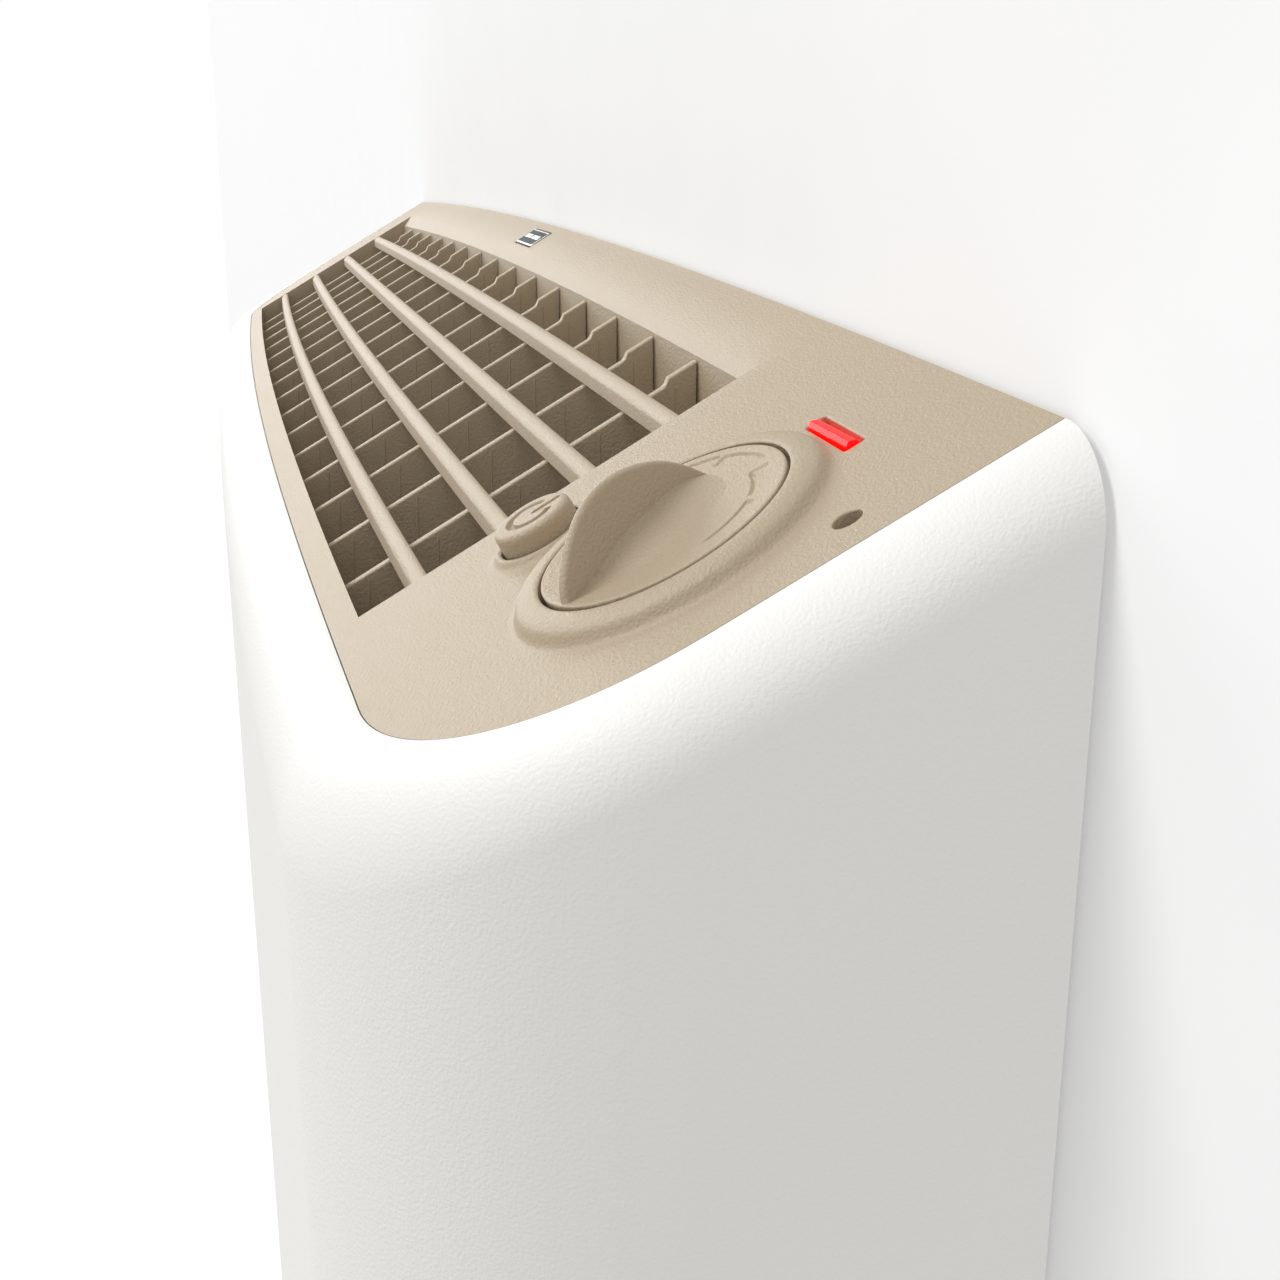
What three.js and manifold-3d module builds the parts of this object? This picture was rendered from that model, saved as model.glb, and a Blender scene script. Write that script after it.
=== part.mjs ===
// Wall-hung ceramic fan heater. Millimetres, +Z up, the front faces -Y.
// The origin is the centre of the wall bracket's rear face, so the wall is the plane y = 0.
// Air is drawn in through the base, blown up by a cross-flow fan through a ceramic element,
// and leaves through the grille in the sloped top panel.

import * as THREE from 'three';
import { mergeVertices } from 'three/addons/utils/BufferGeometryUtils.js';
import Module from 'manifold-3d';

const wasm = await Module();
wasm.setup();

// ---------------------------------------------------------------- driving dimensions

const fitGap = 0.4;                 // between pieces that touch
const wallGap = 1.2;                // casing's back edge to the wall
const panelHalfWidth = 336;         // top panel at its back edge
const panelSlope = THREE.MathUtils.degToRad(30);
const panelCrown = 6;               // rise of the top panel from its ends to its middle
const panelTop = 215;               // height of the panel's back corners above the bracket's centre
const panelDepth = 88.6;            // back edge to front edge at the middle, in plan
const panelThickness = 3.4;
const frontBow = 5.3;               // how far the front edge falls back at the corners
const cornerStartX = 288;
const cornerEndX = 332.9;
const cornerEndY = -45.2;
const casingOverhang = 12.3;        // casing wall outside the panel's edge
const frontFilletHeight = 21;
const casingThickness = 3;
const sideDraft = 0.0175;
const frontDraft = 0.0076;
const casingBottom = -209;
const baseFlange = 14;
const sideLedge = 6;                // lip under the panel's edge, at the ends and along the front
const frontLedge = 1.6;
const recessDepth = 7.5;            // back cover's rear face in front of the casing's back edge
const backCoverThickness = 2;

const openingNearX = 248;
const openingFarX = -292;
const openingBackY = -13.5 - wallGap;
const openingFrontY = -83.8 - wallGap;
const openingBow = 4.4;
const openingBowSpan = 270;
const skirtThickness = 1.4;
const skirtDepth = 14;
const slatCount = 15;
const slatThickness = 1.8;
const slatRecess = 4.1;
const slatBottom = 28;
const barWidth = 3.5;
const barDepth = 3.7;
const barSlopePlaces = [32.1, 49.4, 67.1, 84.6];
const barBow = 0.05;

const knobX = 297.2;
const knobSlopePlace = 45.7;
const knobRadius = 19.6;
const knobMouthRadius = 20.1;
const collarHeight = 2.6;
const collarBaseRadius = 27;
const buttonX = 265.5;
const buttonSlopePlace = 60;
const buttonRadius = 6.7;
const buttonHeight = 4.6;
const lensX = 296.5;
const lensSlopePlace = 17.9;
const lensLength = 16.4;
const lensWidth = 2.6;
const pinholeX = 325.8;
const pinholeSlopePlace = 27.6;
const pinholeRadius = 2.1;
const badgeWidth = 25;
const badgeDepth = 7.4;
const badgeSlopePlace = 7;

const fanAxisY = -56;
const fanAxisZ = -118;
const fanRadius = 30;
const fanBladeCount = 18;
const fanLeftX = -240;
const fanRightX = 196;
const shaftRadius = 3;
const ductLeftX = -245;
const ductRightX = 201;
const sheetThickness = 1.5;
const elementBottom = 90;
const elementTop = 130;

// ---------------------------------------------------------------- materials

function material(color, roughness, metalness = 0) {
  return new THREE.MeshStandardMaterial({ color, roughness, metalness });
}

const whitePlastic = () => material(0xdcdbd8, 0.55);
const beigePlastic = () => material(0xcabda8, 0.6);
const brownPlastic = () => material(0x5a4d3d, 0.7);
const blackPlastic = () => material(0x26262a, 0.6);
const creamPlastic = () => material(0xd8d2c2, 0.6);
const zincSteel = () => material(0xb4b7b8, 0.4, 0.9);
const aluminium = () => material(0xc3c6c8, 0.35, 0.95);
const ceramicGrey = () => material(0x4c4a48, 0.8);
const screwSteel = () => material(0x9a9da0, 0.35, 0.95);
const bronze = () => material(0x9c7440, 0.4, 0.9);
const rubber = () => material(0x1f1f1f, 0.85);
const redLens = () => material(0xd8151a, 0.15);
const lampGlass = () => material(0xe8b0a0, 0.2);
const badgeMetal = () => material(0x3a3a3d, 0.3, 0.6);
const mica = () => material(0xa89a7c, 0.8);
const copper = () => material(0xb06a40, 0.35, 0.9);

// ---------------------------------------------------------------- the sloped, crowned face

function crownAt(x) {
  return panelCrown * (1 - (x / panelHalfWidth) ** 2);
}

function faceHeight(x, y) {
  return panelTop + crownAt(x) + (y + wallGap) * Math.tan(panelSlope);
}

// y of a point a given distance down the slope from the panel's back edge
function slopeY(place) {
  return -wallGap - place * Math.cos(panelSlope);
}

// a group whose +Z is the face's normal and whose +Y points up the slope to the wall
function faceGroup(x, place) {
  const group = new THREE.Group();
  const y = slopeY(place);
  const fall = (2 * panelCrown * x) / panelHalfWidth ** 2;
  group.position.set(x, y, faceHeight(x, y));
  group.rotation.x = panelSlope;
  group.rotation.y = Math.asin(fall * Math.cos(panelSlope));
  group.updateMatrixWorld(true);
  return group;
}

// ---------------------------------------------------------------- solids

function toSolid(geometry) {
  const bare = geometry.clone();
  bare.deleteAttribute('normal');
  bare.deleteAttribute('uv');
  const merged = mergeVertices(bare, 1e-4);
  const vertProperties = new Float32Array(merged.attributes.position.array);
  const triVerts = new Uint32Array(merged.index.array);
  return new wasm.Manifold(new wasm.Mesh({ numProp: 3, vertProperties, triVerts }));
}

function toGeometry(solid) {
  const mesh = solid.getMesh();
  const cutGeometry = new THREE.BufferGeometry();
  cutGeometry.setAttribute('position', new THREE.BufferAttribute(mesh.vertProperties, 3));
  cutGeometry.setIndex(new THREE.BufferAttribute(mesh.triVerts, 1));
  return withoutSlivers(cutGeometry);
}

// welds points that nearly coincide and drops the triangles that this closes up
function withoutSlivers(geometry) {
  const welded = mergeVertices(geometry, 0.004);
  const corners = [...welded.index.array];
  const kept = [];
  for (let i = 0; i < corners.length; i += 3) {
    const [a, b, c] = corners.slice(i, i + 3);
    if (a !== b && b !== c && c !== a) {
      kept.push(a, b, c);
    }
  }
  welded.setIndex(kept);
  return welded;
}

function join(...solids) {
  return solids.reduce((whole, piece) => whole.add(piece));
}

function cut(solid, ...tools) {
  return tools.reduce((left, tool) => left.subtract(tool), solid);
}

// box between two corners
function boxGeometry(low, high) {
  const size = high.map((value, i) => value - low[i]);
  const middle = high.map((value, i) => (value + low[i]) / 2);
  return new THREE.BoxGeometry(...size).translate(...middle);
}

function box(low, high) {
  return toSolid(boxGeometry(low, high));
}

function cylinderAlongX(radius, x0, x1, y, z, sides = 20) {
  const geometry = new THREE.CylinderGeometry(radius, radius, x1 - x0, sides);
  return geometry.rotateZ(Math.PI / 2).translate((x0 + x1) / 2, y, z);
}

function cylinderAlongY(radius, y0, y1, x, z, sides = 10) {
  const geometry = new THREE.CylinderGeometry(radius, radius, y1 - y0, sides);
  return geometry.translate(x, (y0 + y1) / 2, z);
}

function cylinderAlongZ(radius, z0, z1, x = 0, y = 0, sides = 20) {
  const geometry = new THREE.CylinderGeometry(radius, radius, z1 - z0, sides);
  return geometry.rotateX(Math.PI / 2).translate(x, y, (z0 + z1) / 2);
}

// solid of revolution about +Z from [radius, height] pairs
function latheAlongZ(profile, sides = 40) {
  const points = profile.map(([radius, height]) => new THREE.Vector2(radius, height));
  return new THREE.LatheGeometry(points, sides).rotateX(Math.PI / 2);
}

// closed plan outline raised from z0 to z1
function prism(points, z0, z1) {
  const shape = new THREE.Shape(points.map(([x, y]) => new THREE.Vector2(x, y)));
  const geometry = new THREE.ExtrudeGeometry(shape, { depth: z1 - z0, bevelEnabled: false });
  return geometry.translate(0, 0, z0);
}

// closed [y, z] outline carried from x0 to x1
function prismAlongX(points, x0, x1) {
  const shape = new THREE.Shape(points.map(([y, z]) => new THREE.Vector2(y, z)));
  const geometry = new THREE.ExtrudeGeometry(shape, { depth: x1 - x0, bevelEnabled: false });
  const turn = new THREE.Matrix4().makeBasis(
    new THREE.Vector3(0, 1, 0),
    new THREE.Vector3(0, 0, 1),
    new THREE.Vector3(1, 0, 0),
  );
  return geometry.applyMatrix4(turn).translate(x0, 0, 0);
}

// sheet of constant thickness that follows a smooth [y, z] line, to the line's left
function sheetOutline(points, thickness, steps) {
  const curve = new THREE.SplineCurve(points.map(([y, z]) => new THREE.Vector2(y, z)));
  const near = [];
  const far = [];
  for (let i = 0; i <= steps; i += 1) {
    const point = curve.getPoint(i / steps);
    const along = curve.getTangent(i / steps);
    near.push([point.x, point.y]);
    far.unshift([point.x - along.y * thickness, point.y + along.x * thickness]);
  }
  return [...near, ...far];
}

// round lead along a smooth line through the given points
function lead(points, radius, steps, sides = 6) {
  const path = new THREE.CatmullRomCurve3(points.map((point) => new THREE.Vector3(...point)));
  const ring = [];
  for (let i = 0; i < sides; i += 1) {
    const angle = (i / sides) * Math.PI * 2;
    ring.push(new THREE.Vector2(Math.cos(angle) * radius, Math.sin(angle) * radius));
  }
  return new THREE.ExtrudeGeometry(new THREE.Shape(ring), { steps, extrudePath: path });
}

function dominantFlat(ring) {
  const normal = new THREE.Vector3();
  ring.forEach((point, i) => {
    const next = ring[(i + 1) % ring.length];
    normal.add(new THREE.Vector3().crossVectors(point, next));
  });
  const sizes = [Math.abs(normal.x), Math.abs(normal.y), Math.abs(normal.z)];
  const drop = sizes.indexOf(Math.max(...sizes));
  const keep = [0, 1, 2].filter((axis) => axis !== drop);
  return ring.map((point) => new THREE.Vector2(point.getComponent(keep[0]), point.getComponent(keep[1])));
}

// cap triangles that run the same way round as the ring
function capTriangles(ring) {
  const flat = dominantFlat(ring);
  const ringSign = Math.sign(THREE.ShapeUtils.area(flat));
  return THREE.ShapeUtils.triangulateShape(flat, []).map(([a, b, c]) => {
    const sign = Math.sign(THREE.ShapeUtils.area([flat[a], flat[b], flat[c]]));
    return sign === ringSign ? [a, b, c] : [a, c, b];
  });
}

// closed body through a row of rings that all have the same number of points
function loft(rings) {
  const count = rings[0].length;
  const vertices = rings.flat();
  const triangles = [];
  for (let r = 0; r < rings.length - 1; r += 1) {
    for (let i = 0; i < count; i += 1) {
      const next = (i + 1) % count;
      const a = r * count + i;
      const b = r * count + next;
      const c = (r + 1) * count + next;
      const d = (r + 1) * count + i;
      triangles.push([a, b, c], [a, c, d]);
    }
  }
  const last = (rings.length - 1) * count;
  capTriangles(rings[0]).forEach(([a, b, c]) => triangles.push([a, c, b]));
  capTriangles(rings.at(-1)).forEach(([a, b, c]) => triangles.push([a + last, b + last, c + last]));
  let volume = 0;
  for (const [a, b, c] of triangles) {
    volume += vertices[a].dot(new THREE.Vector3().crossVectors(vertices[b], vertices[c]));
  }
  const ordered = volume > 0 ? triangles : triangles.map(([a, b, c]) => [a, c, b]);
  const geometry = new THREE.BufferGeometry().setFromPoints(vertices);
  geometry.setIndex(ordered.flat());
  return geometry;
}

// layer under the panel's face, between two depths measured straight down
function faceLayer(x0, x1, y0, y1, upper, lower, steps = 18) {
  const rings = [];
  for (let i = 0; i <= steps; i += 1) {
    const x = x0 + ((x1 - x0) * i) / steps;
    rings.push([
      new THREE.Vector3(x, y0, faceHeight(x, y0) - upper),
      new THREE.Vector3(x, y1, faceHeight(x, y1) - upper),
      new THREE.Vector3(x, y1, faceHeight(x, y1) - lower),
      new THREE.Vector3(x, y0, faceHeight(x, y0) - lower),
    ]);
  }
  return toSolid(loft(rings));
}

// ---------------------------------------------------------------- assembly

const heater = new THREE.Group();

function addMesh(name, geometry, finish, parent = heater) {
  const mesh = new THREE.Mesh(geometry, finish);
  mesh.name = name;
  parent.add(mesh);
  return mesh;
}

// ---------------------------------------------------------------- plan outline of the panel

// points with outward normals, from the right back corner round the front to the left one
function panelStations() {
  const frontY = -panelDepth - wallGap;
  const cornerY = frontY + frontBow;
  const bowFall = (2 * frontBow) / cornerStartX;
  const sideLean = (panelHalfWidth - cornerEndX) / (-wallGap - cornerEndY);
  const roundness = 0.55;
  const reachX = roundness * (cornerEndX - cornerStartX);
  const reachY = roundness * (cornerEndY - cornerY);
  const pieces = [
    {
      curve: new THREE.LineCurve(
        new THREE.Vector2(panelHalfWidth, -wallGap),
        new THREE.Vector2(cornerEndX, cornerEndY),
      ),
      steps: 3,
    },
    {
      curve: new THREE.CubicBezierCurve(
        new THREE.Vector2(cornerEndX, cornerEndY),
        new THREE.Vector2(cornerEndX - sideLean * reachY, cornerEndY - reachY),
        new THREE.Vector2(cornerStartX + reachX, cornerY + bowFall * reachX),
        new THREE.Vector2(cornerStartX, cornerY),
      ),
      steps: 8,
    },
    {
      curve: new THREE.QuadraticBezierCurve(
        new THREE.Vector2(cornerStartX, cornerY),
        new THREE.Vector2(cornerStartX / 2, frontY),
        new THREE.Vector2(0, frontY),
      ),
      steps: 6,
    },
  ];
  const half = [];
  for (const { curve, steps } of pieces) {
    for (let i = half.length === 0 ? 0 : 1; i <= steps; i += 1) {
      const point = curve.getPoint(i / steps);
      const along = curve.getTangent(i / steps);
      half.push({ x: point.x, y: point.y, nx: -along.y, ny: along.x });
    }
  }
  half[0].nx = 1;
  half[0].ny = 0;
  const mirrored = half.slice(0, -1).reverse().map((s) => ({ x: -s.x, y: s.y, nx: -s.nx, ny: s.ny }));
  return [...half, ...mirrored];
}

const stations = panelStations();

function filletHeight(station) {
  return casingOverhang + (frontFilletHeight - casingOverhang) * station.ny ** 2;
}

// a point of the casing at an offset from the panel's edge and a drop below the rim
function rimPoint(station, offset, drop) {
  const x = station.x + station.nx * offset;
  const y = station.y + station.ny * offset;
  return new THREE.Vector3(x, y, faceHeight(station.x, station.y) - drop);
}

// a point of the casing wall at a height, drawn in by the moulding draft
function wallPoint(station, offset, z) {
  const shoulder = faceHeight(station.x, station.y) - filletHeight(station);
  const draft = sideDraft * station.nx ** 2 + frontDraft * station.ny ** 2;
  const out = offset - draft * Math.max(0, shoulder - z);
  return new THREE.Vector3(station.x + station.nx * out, station.y + station.ny * out, z);
}

function sideWallX(z) {
  return wallPoint(stations[0], casingOverhang, z).x;
}

// ---------------------------------------------------------------- white casing

// rim, top fillet, drafted wall, rounded base and its flange, then back up the inside
function casingRing(station) {
  const filletSteps = 6;
  const baseRadius = 5;
  const baseSteps = 3;
  const ledgeDrop = panelThickness + fitGap;
  const ledge = sideLedge + (frontLedge - sideLedge) * station.ny ** 2;
  const ring = [];
  for (let i = 0; i <= filletSteps; i += 1) {
    const angle = (i / filletSteps) * (Math.PI / 2);
    const offset = fitGap + (casingOverhang - fitGap) * Math.sin(angle);
    ring.push(rimPoint(station, offset, filletHeight(station) * (1 - Math.cos(angle))));
  }
  for (let i = 0; i <= baseSteps; i += 1) {
    const angle = (i / baseSteps) * (Math.PI / 2);
    const offset = casingOverhang - baseRadius * (1 - Math.cos(angle));
    ring.push(wallPoint(station, offset, casingBottom + baseRadius * (1 - Math.sin(angle))));
  }
  const inner = casingOverhang - casingThickness;
  ring.push(wallPoint(station, casingOverhang - baseFlange, casingBottom));
  ring.push(wallPoint(station, casingOverhang - baseFlange, casingBottom + casingThickness));
  ring.push(wallPoint(station, inner, casingBottom + casingThickness));
  ring.push(rimPoint(station, inner, filletHeight(station) + 2));
  ring.push(rimPoint(station, inner - 3, ledgeDrop + 4));
  ring.push(rimPoint(station, -ledge, ledgeDrop + 3));
  ring.push(rimPoint(station, -ledge, ledgeDrop));
  ring.push(rimPoint(station, fitGap, ledgeDrop));
  return ring;
}

const coverFrontY = -wallGap - recessDepth - backCoverThickness;
const coverRearY = -wallGap - recessDepth;
const coverScrewHeights = [-160, 10, 160];
const coverScrewX = 331;
const screwHoleRadius = 2.1;

function casing() {
  const postInset = 2.4;
  let shell = toSolid(loft(stations.map(casingRing)));
  for (const side of [-1, 1]) {
    for (const z of coverScrewHeights) {
      const ends = [side * (coverScrewX - 6), side * (sideWallX(z) - postInset)].sort((a, b) => a - b);
      const post = box([ends[0], coverFrontY - 18, z - 7], [ends[1], coverFrontY - fitGap, z + 7]);
      const pilot = cylinderAlongY(screwHoleRadius, coverFrontY - 15, coverFrontY, side * coverScrewX, z);
      shell = cut(join(shell, post), toSolid(pilot));
    }
  }
  return toGeometry(shell);
}

addMesh('front_casing', casing(), whitePlastic());

// ---------------------------------------------------------------- beige top panel

function openingFront(x) {
  return openingFrontY + openingBow * (x / openingBowSpan) ** 2;
}

// the air opening in plan, drawn in by an inset all round
function openingOutline(inset) {
  const steps = 12;
  const near = openingNearX - inset;
  const far = openingFarX + inset;
  const points = [[near, openingBackY - inset], [far, openingBackY - inset]];
  for (let i = 0; i <= steps; i += 1) {
    const x = far + ((near - far) * i) / steps;
    points.push([x, openingFront(x) + inset]);
  }
  return points;
}

function barY(place, x) {
  return slopeY(place * (1 - barBow * (x / openingNearX) ** 2));
}

// round-topped long bar, let into both end walls of the opening
function grilleBar(place) {
  const steps = 12;
  const rings = [];
  for (let i = 0; i <= steps; i += 1) {
    const x = openingFarX - 1 + ((openingNearX - openingFarX + 2) * i) / steps;
    const y = barY(place, x);
    const section = [[-1, -barDepth], [1, -barDepth], [1, -1.1], [0.5, -0.3], [-0.5, -0.3], [-1, -1.1]];
    rings.push(section.map(([side, rise]) => {
      const pointY = y + (side * barWidth) / 2;
      return new THREE.Vector3(x, pointY, faceHeight(x, pointY) + rise);
    }));
  }
  return toSolid(loft(rings));
}

function inFace(geometry, x, place) {
  return toSolid(geometry.applyMatrix4(faceGroup(x, place).matrixWorld));
}

// soft raised ring; its underside is sunk in the panel so that it joins it
function collar(mouth, crest, base, height) {
  const skirtWidth = base - crest;
  return latheAlongZ([
    [mouth, -1], [base, -1], [base, -0.2], [base - skirtWidth * 0.25, height * 0.14],
    [crest + skirtWidth * 0.35, height * 0.5], [crest, height * 0.9], [mouth + 0.5, height],
    [mouth, height - 0.5], [mouth, -1],
  ], 36);
}

const controlBosses = [[-39, 17], [17, -24], [17, 20]];
const controlPlateTop = -9.6;

function topPanel() {
  const outline = stations.map((s) => [s.x, s.y]);
  const wide = panelHalfWidth + 4;
  const deep = -panelDepth - 6;
  const plate = faceLayer(-wide, wide, deep, 0, 0, panelThickness)
    .intersect(toSolid(prism(outline, 0, panelTop + 20)));
  const skirtSteps = 9;
  const skirt = faceLayer(openingFarX - 3, openingNearX + 3, deep, -8, 1, skirtDepth, skirtSteps)
    .intersect(toSolid(prism(openingOutline(-skirtThickness), 0, panelTop + 20)));
  const inner = panelHalfWidth - sideLedge - 5;
  const backSkirt = faceLayer(-inner, inner, -wallGap - 2, -wallGap, 1, 17, skirtSteps);
  let panel = join(plate, skirt, backSkirt);
  panel = cut(panel, toSolid(prism(openingOutline(0), 0, panelTop + 20)));
  const bevelBack = slopeY(12);
  const bevelFall = 2.4;
  const bevelSteps = 16;
  const bevelRings = [];
  for (let i = 0; i <= bevelSteps; i += 1) {
    const x = openingFarX + ((openingNearX - openingFarX) * i) / bevelSteps;
    bevelRings.push([
      new THREE.Vector3(x, bevelBack, faceHeight(x, bevelBack)),
      new THREE.Vector3(x, bevelBack, faceHeight(x, bevelBack) + 4),
      new THREE.Vector3(x, openingBackY - 1, faceHeight(x, openingBackY) + 4),
      new THREE.Vector3(x, openingBackY - 1, faceHeight(x, openingBackY) - bevelFall),
      new THREE.Vector3(x, openingBackY, faceHeight(x, openingBackY) - bevelFall),
    ]);
  }
  panel = cut(panel, toSolid(loft(bevelRings)));
  panel = join(panel, ...barSlopePlaces.map(grilleBar));
  const bosses = controlBosses.map(([x, y]) => cylinderAlongZ(3.6, controlPlateTop + fitGap, -1, x, y, 12));
  const pilots = controlBosses.map(([x, y]) => cylinderAlongZ(1.8, controlPlateTop - 1, -4, x, y, 10));
  const knobCollar = collar(knobMouthRadius + fitGap, knobMouthRadius + 3, collarBaseRadius, collarHeight);
  const buttonCollar = collar(buttonRadius - 2, buttonRadius + 1.2, buttonRadius + 2.6, 1.2);
  panel = join(
    panel,
    inFace(knobCollar, knobX, knobSlopePlace),
    inFace(buttonCollar, buttonX, buttonSlopePlace),
    ...bosses.map((boss) => inFace(boss, knobX, knobSlopePlace)),
  );
  const lensSlot = boxGeometry(
    [-lensLength / 2 - fitGap, -lensWidth / 2 - fitGap, -8],
    [lensLength / 2 + fitGap, lensWidth / 2 + fitGap, 4],
  );
  const badgePocket = boxGeometry(
    [-badgeWidth / 2 - fitGap, -badgeDepth / 2 - fitGap, -0.7],
    [badgeWidth / 2 + fitGap, badgeDepth / 2 + fitGap, 4],
  );
  return toGeometry(cut(
    panel,
    inFace(cylinderAlongZ(5.8, -8, 6, 0, 0, 24), knobX, knobSlopePlace),
    inFace(cylinderAlongZ(buttonRadius + 0.5, -8, 6, 0, 0, 32), buttonX, buttonSlopePlace),
    inFace(cylinderAlongZ(pinholeRadius, -8, 6), pinholeX, pinholeSlopePlace),
    inFace(lensSlot, lensX, lensSlopePlace),
    inFace(badgePocket, 0, badgeSlopePlace),
    ...pilots.map((pilot) => inFace(pilot, knobX, knobSlopePlace)),
  ));
}

addMesh('top_panel', topPanel(), beigePlastic());

// ---------------------------------------------------------------- slatted outlet grille

// deep thin slat across the opening; the stretch nearest the wall stands a step higher
function slat(x) {
  const back = openingBackY - fitGap;
  const front = openingFront(x) + fitGap;
  const stepY = slopeY(22);
  const stepRise = 1.2;
  const at = (y, drop) => [y, faceHeight(x, y) - drop];
  const outline = [
    at(back, slatRecess - stepRise), at(back, slatBottom), at(front, slatBottom),
    at(front, slatRecess), at(stepY - 1, slatRecess), at(stepY, slatRecess - stepRise),
  ];
  return toSolid(prismAlongX(outline, x - slatThickness / 2, x + slatThickness / 2));
}

function outletGrille() {
  const railTop = skirtDepth + fitGap;
  const ring = cut(
    toSolid(prism(openingOutline(-3.5), 0, panelTop + 20)),
    toSolid(prism(openingOutline(1), -10, panelTop + 30)),
  );
  const deep = -panelDepth - 6;
  const rails = faceLayer(openingFarX - 5, openingNearX + 5, deep, -8, railTop, railTop + 4, 14)
    .intersect(ring);
  const pitch = (openingNearX - openingFarX) / (slatCount + 1);
  const slats = [];
  for (let i = 1; i <= slatCount; i += 1) {
    slats.push(slat(openingFarX + pitch * i));
  }
  return toGeometry(join(rails, ...slats));
}

addMesh('outlet_grille', outletGrille(), beigePlastic());

// ---------------------------------------------------------------- knob, button, lens and badge

const knobFace = faceGroup(knobX, knobSlopePlace);
const buttonFace = faceGroup(buttonX, buttonSlopePlace);
const lensFace = faceGroup(lensX, lensSlopePlace);
const badgeFace = faceGroup(0, badgeSlopePlace);
heater.add(knobFace, buttonFace, lensFace, badgeFace);

const thermostatTop = -13;
const spindleRadius = 3;

// dished disc with a half-moon grip fin that starts at the rim and dies out short of the far side
function knob() {
  const disc = toSolid(latheAlongZ([
    [0, -8.6], [5.2, -8.6], [5.2, 0.5], [knobRadius - 0.6, 0.5], [knobRadius, 1.1],
    [knobRadius, 2.4], [knobRadius - 0.7, 2.8], [knobRadius - 4, 2.5], [10, 2.1], [0, 2],
  ], 48));
  const finLength = 32.6;
  const finHeight = 10.2;
  const rise = new THREE.Shape();
  rise.moveTo(0, 0);
  const crestX = finLength * 0.55;
  const crestY = finHeight * 1.02;
  rise.bezierCurveTo(1.5, finHeight * 0.95, finLength * 0.28, finHeight * 1.18, crestX, crestY);
  rise.bezierCurveTo(finLength * 0.75, finHeight * 0.9, finLength * 0.92, finHeight * 0.45, finLength, 0);
  const blade = new THREE.ExtrudeGeometry(rise, {
    depth: 1.4, bevelEnabled: true, bevelThickness: 0.8, bevelSize: 0.5, bevelSegments: 1, curveSegments: 8,
  });
  blade.translate(0, 0, -0.7).rotateX(Math.PI / 2);
  const finAngle = THREE.MathUtils.degToRad(120.8);
  blade.rotateZ(finAngle).translate(5.2, -17, 2);
  const socket = toSolid(cylinderAlongZ(spindleRadius + 0.3, -10, -1.2, 0, 0, 16));
  return toGeometry(cut(join(disc, toSolid(blade)), socket));
}

addMesh('thermostat_knob', knob(), beigePlastic(), knobFace);
addMesh('thermostat_spindle', cylinderAlongZ(spindleRadius, -24, -1.6, 0, 0, 16), screwSteel(), knobFace);

const buttonFlangeTop = -4;
const plungerRadius = 2.4;
addMesh('power_button', latheAlongZ([
  [0, -9], [3, -9], [3, buttonFlangeTop - 1.4], [8.2, buttonFlangeTop - 1.4],
  [8.2, buttonFlangeTop], [buttonRadius, buttonFlangeTop],
  [buttonRadius, buttonHeight - 1.4], [buttonRadius - 0.5, buttonHeight - 0.4],
  [buttonRadius - 1.4, buttonHeight], [4.4, buttonHeight - 0.1],
  [3.8, buttonHeight - 0.7], [0, buttonHeight - 0.7],
], 24), beigePlastic(), buttonFace);
addMesh('switch_plunger', cylinderAlongZ(plungerRadius, -18, -9.4, 0, 0, 14), creamPlastic(), buttonFace);

const lensPiece = join(
  box([-lensLength / 2, -lensWidth / 2, -6], [lensLength / 2, lensWidth / 2, 0.3]),
  box([-lensLength / 2 - 2, -lensWidth / 2 - 2, -5], [lensLength / 2 + 2, lensWidth / 2 + 2, -3.6]),
);
addMesh('indicator_lens', toGeometry(lensPiece), redLens(), lensFace);
addMesh('indicator_lamp', cylinderAlongX(2.2, -6, 6, 0, -9, 14), lampGlass(), lensFace);
addMesh(
  'badge_plate',
  boxGeometry([-badgeWidth / 2, -badgeDepth / 2, -0.3], [badgeWidth / 2, badgeDepth / 2, 0.5]),
  badgeMetal(),
  badgeFace,
);

// ---------------------------------------------------------------- thermostat, switch and their plate

const buttonInKnobFace = knobFace.worldToLocal(buttonFace.getWorldPosition(new THREE.Vector3()));

const thermostatBody = cut(
  join(
    toSolid(cylinderAlongZ(13, -29, thermostatTop, 0, 0, 28)),
    box([-3, -17, -27], [3, 17, -22]),
  ),
  toSolid(cylinderAlongZ(spindleRadius + 0.3, -25, 0, 0, 0, 16)),
);
addMesh('thermostat_body', toGeometry(thermostatBody), creamPlastic(), knobFace);

const switchBody = cut(
  box([-7, -7, -28], [7, 7, -12.4]),
  toSolid(cylinderAlongZ(plungerRadius + 0.4, -21.5, 0, 0, 0, 14)),
);
addMesh('switch_body', toGeometry(switchBody), blackPlastic(), buttonFace);

const controlPlate = cut(
  box([-43, -30, controlPlateTop - 1.2], [22, 24, controlPlateTop]),
  toSolid(cylinderAlongZ(4.5, -14, 0)),
  toSolid(cylinderAlongZ(5, -14, 0, buttonInKnobFace.x, buttonInKnobFace.y)),
  ...controlBosses.map(([x, y]) => toSolid(cylinderAlongZ(1.8, -14, 0, x, y, 10))),
);
addMesh('control_plate', toGeometry(controlPlate), zincSteel(), knobFace);

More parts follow.
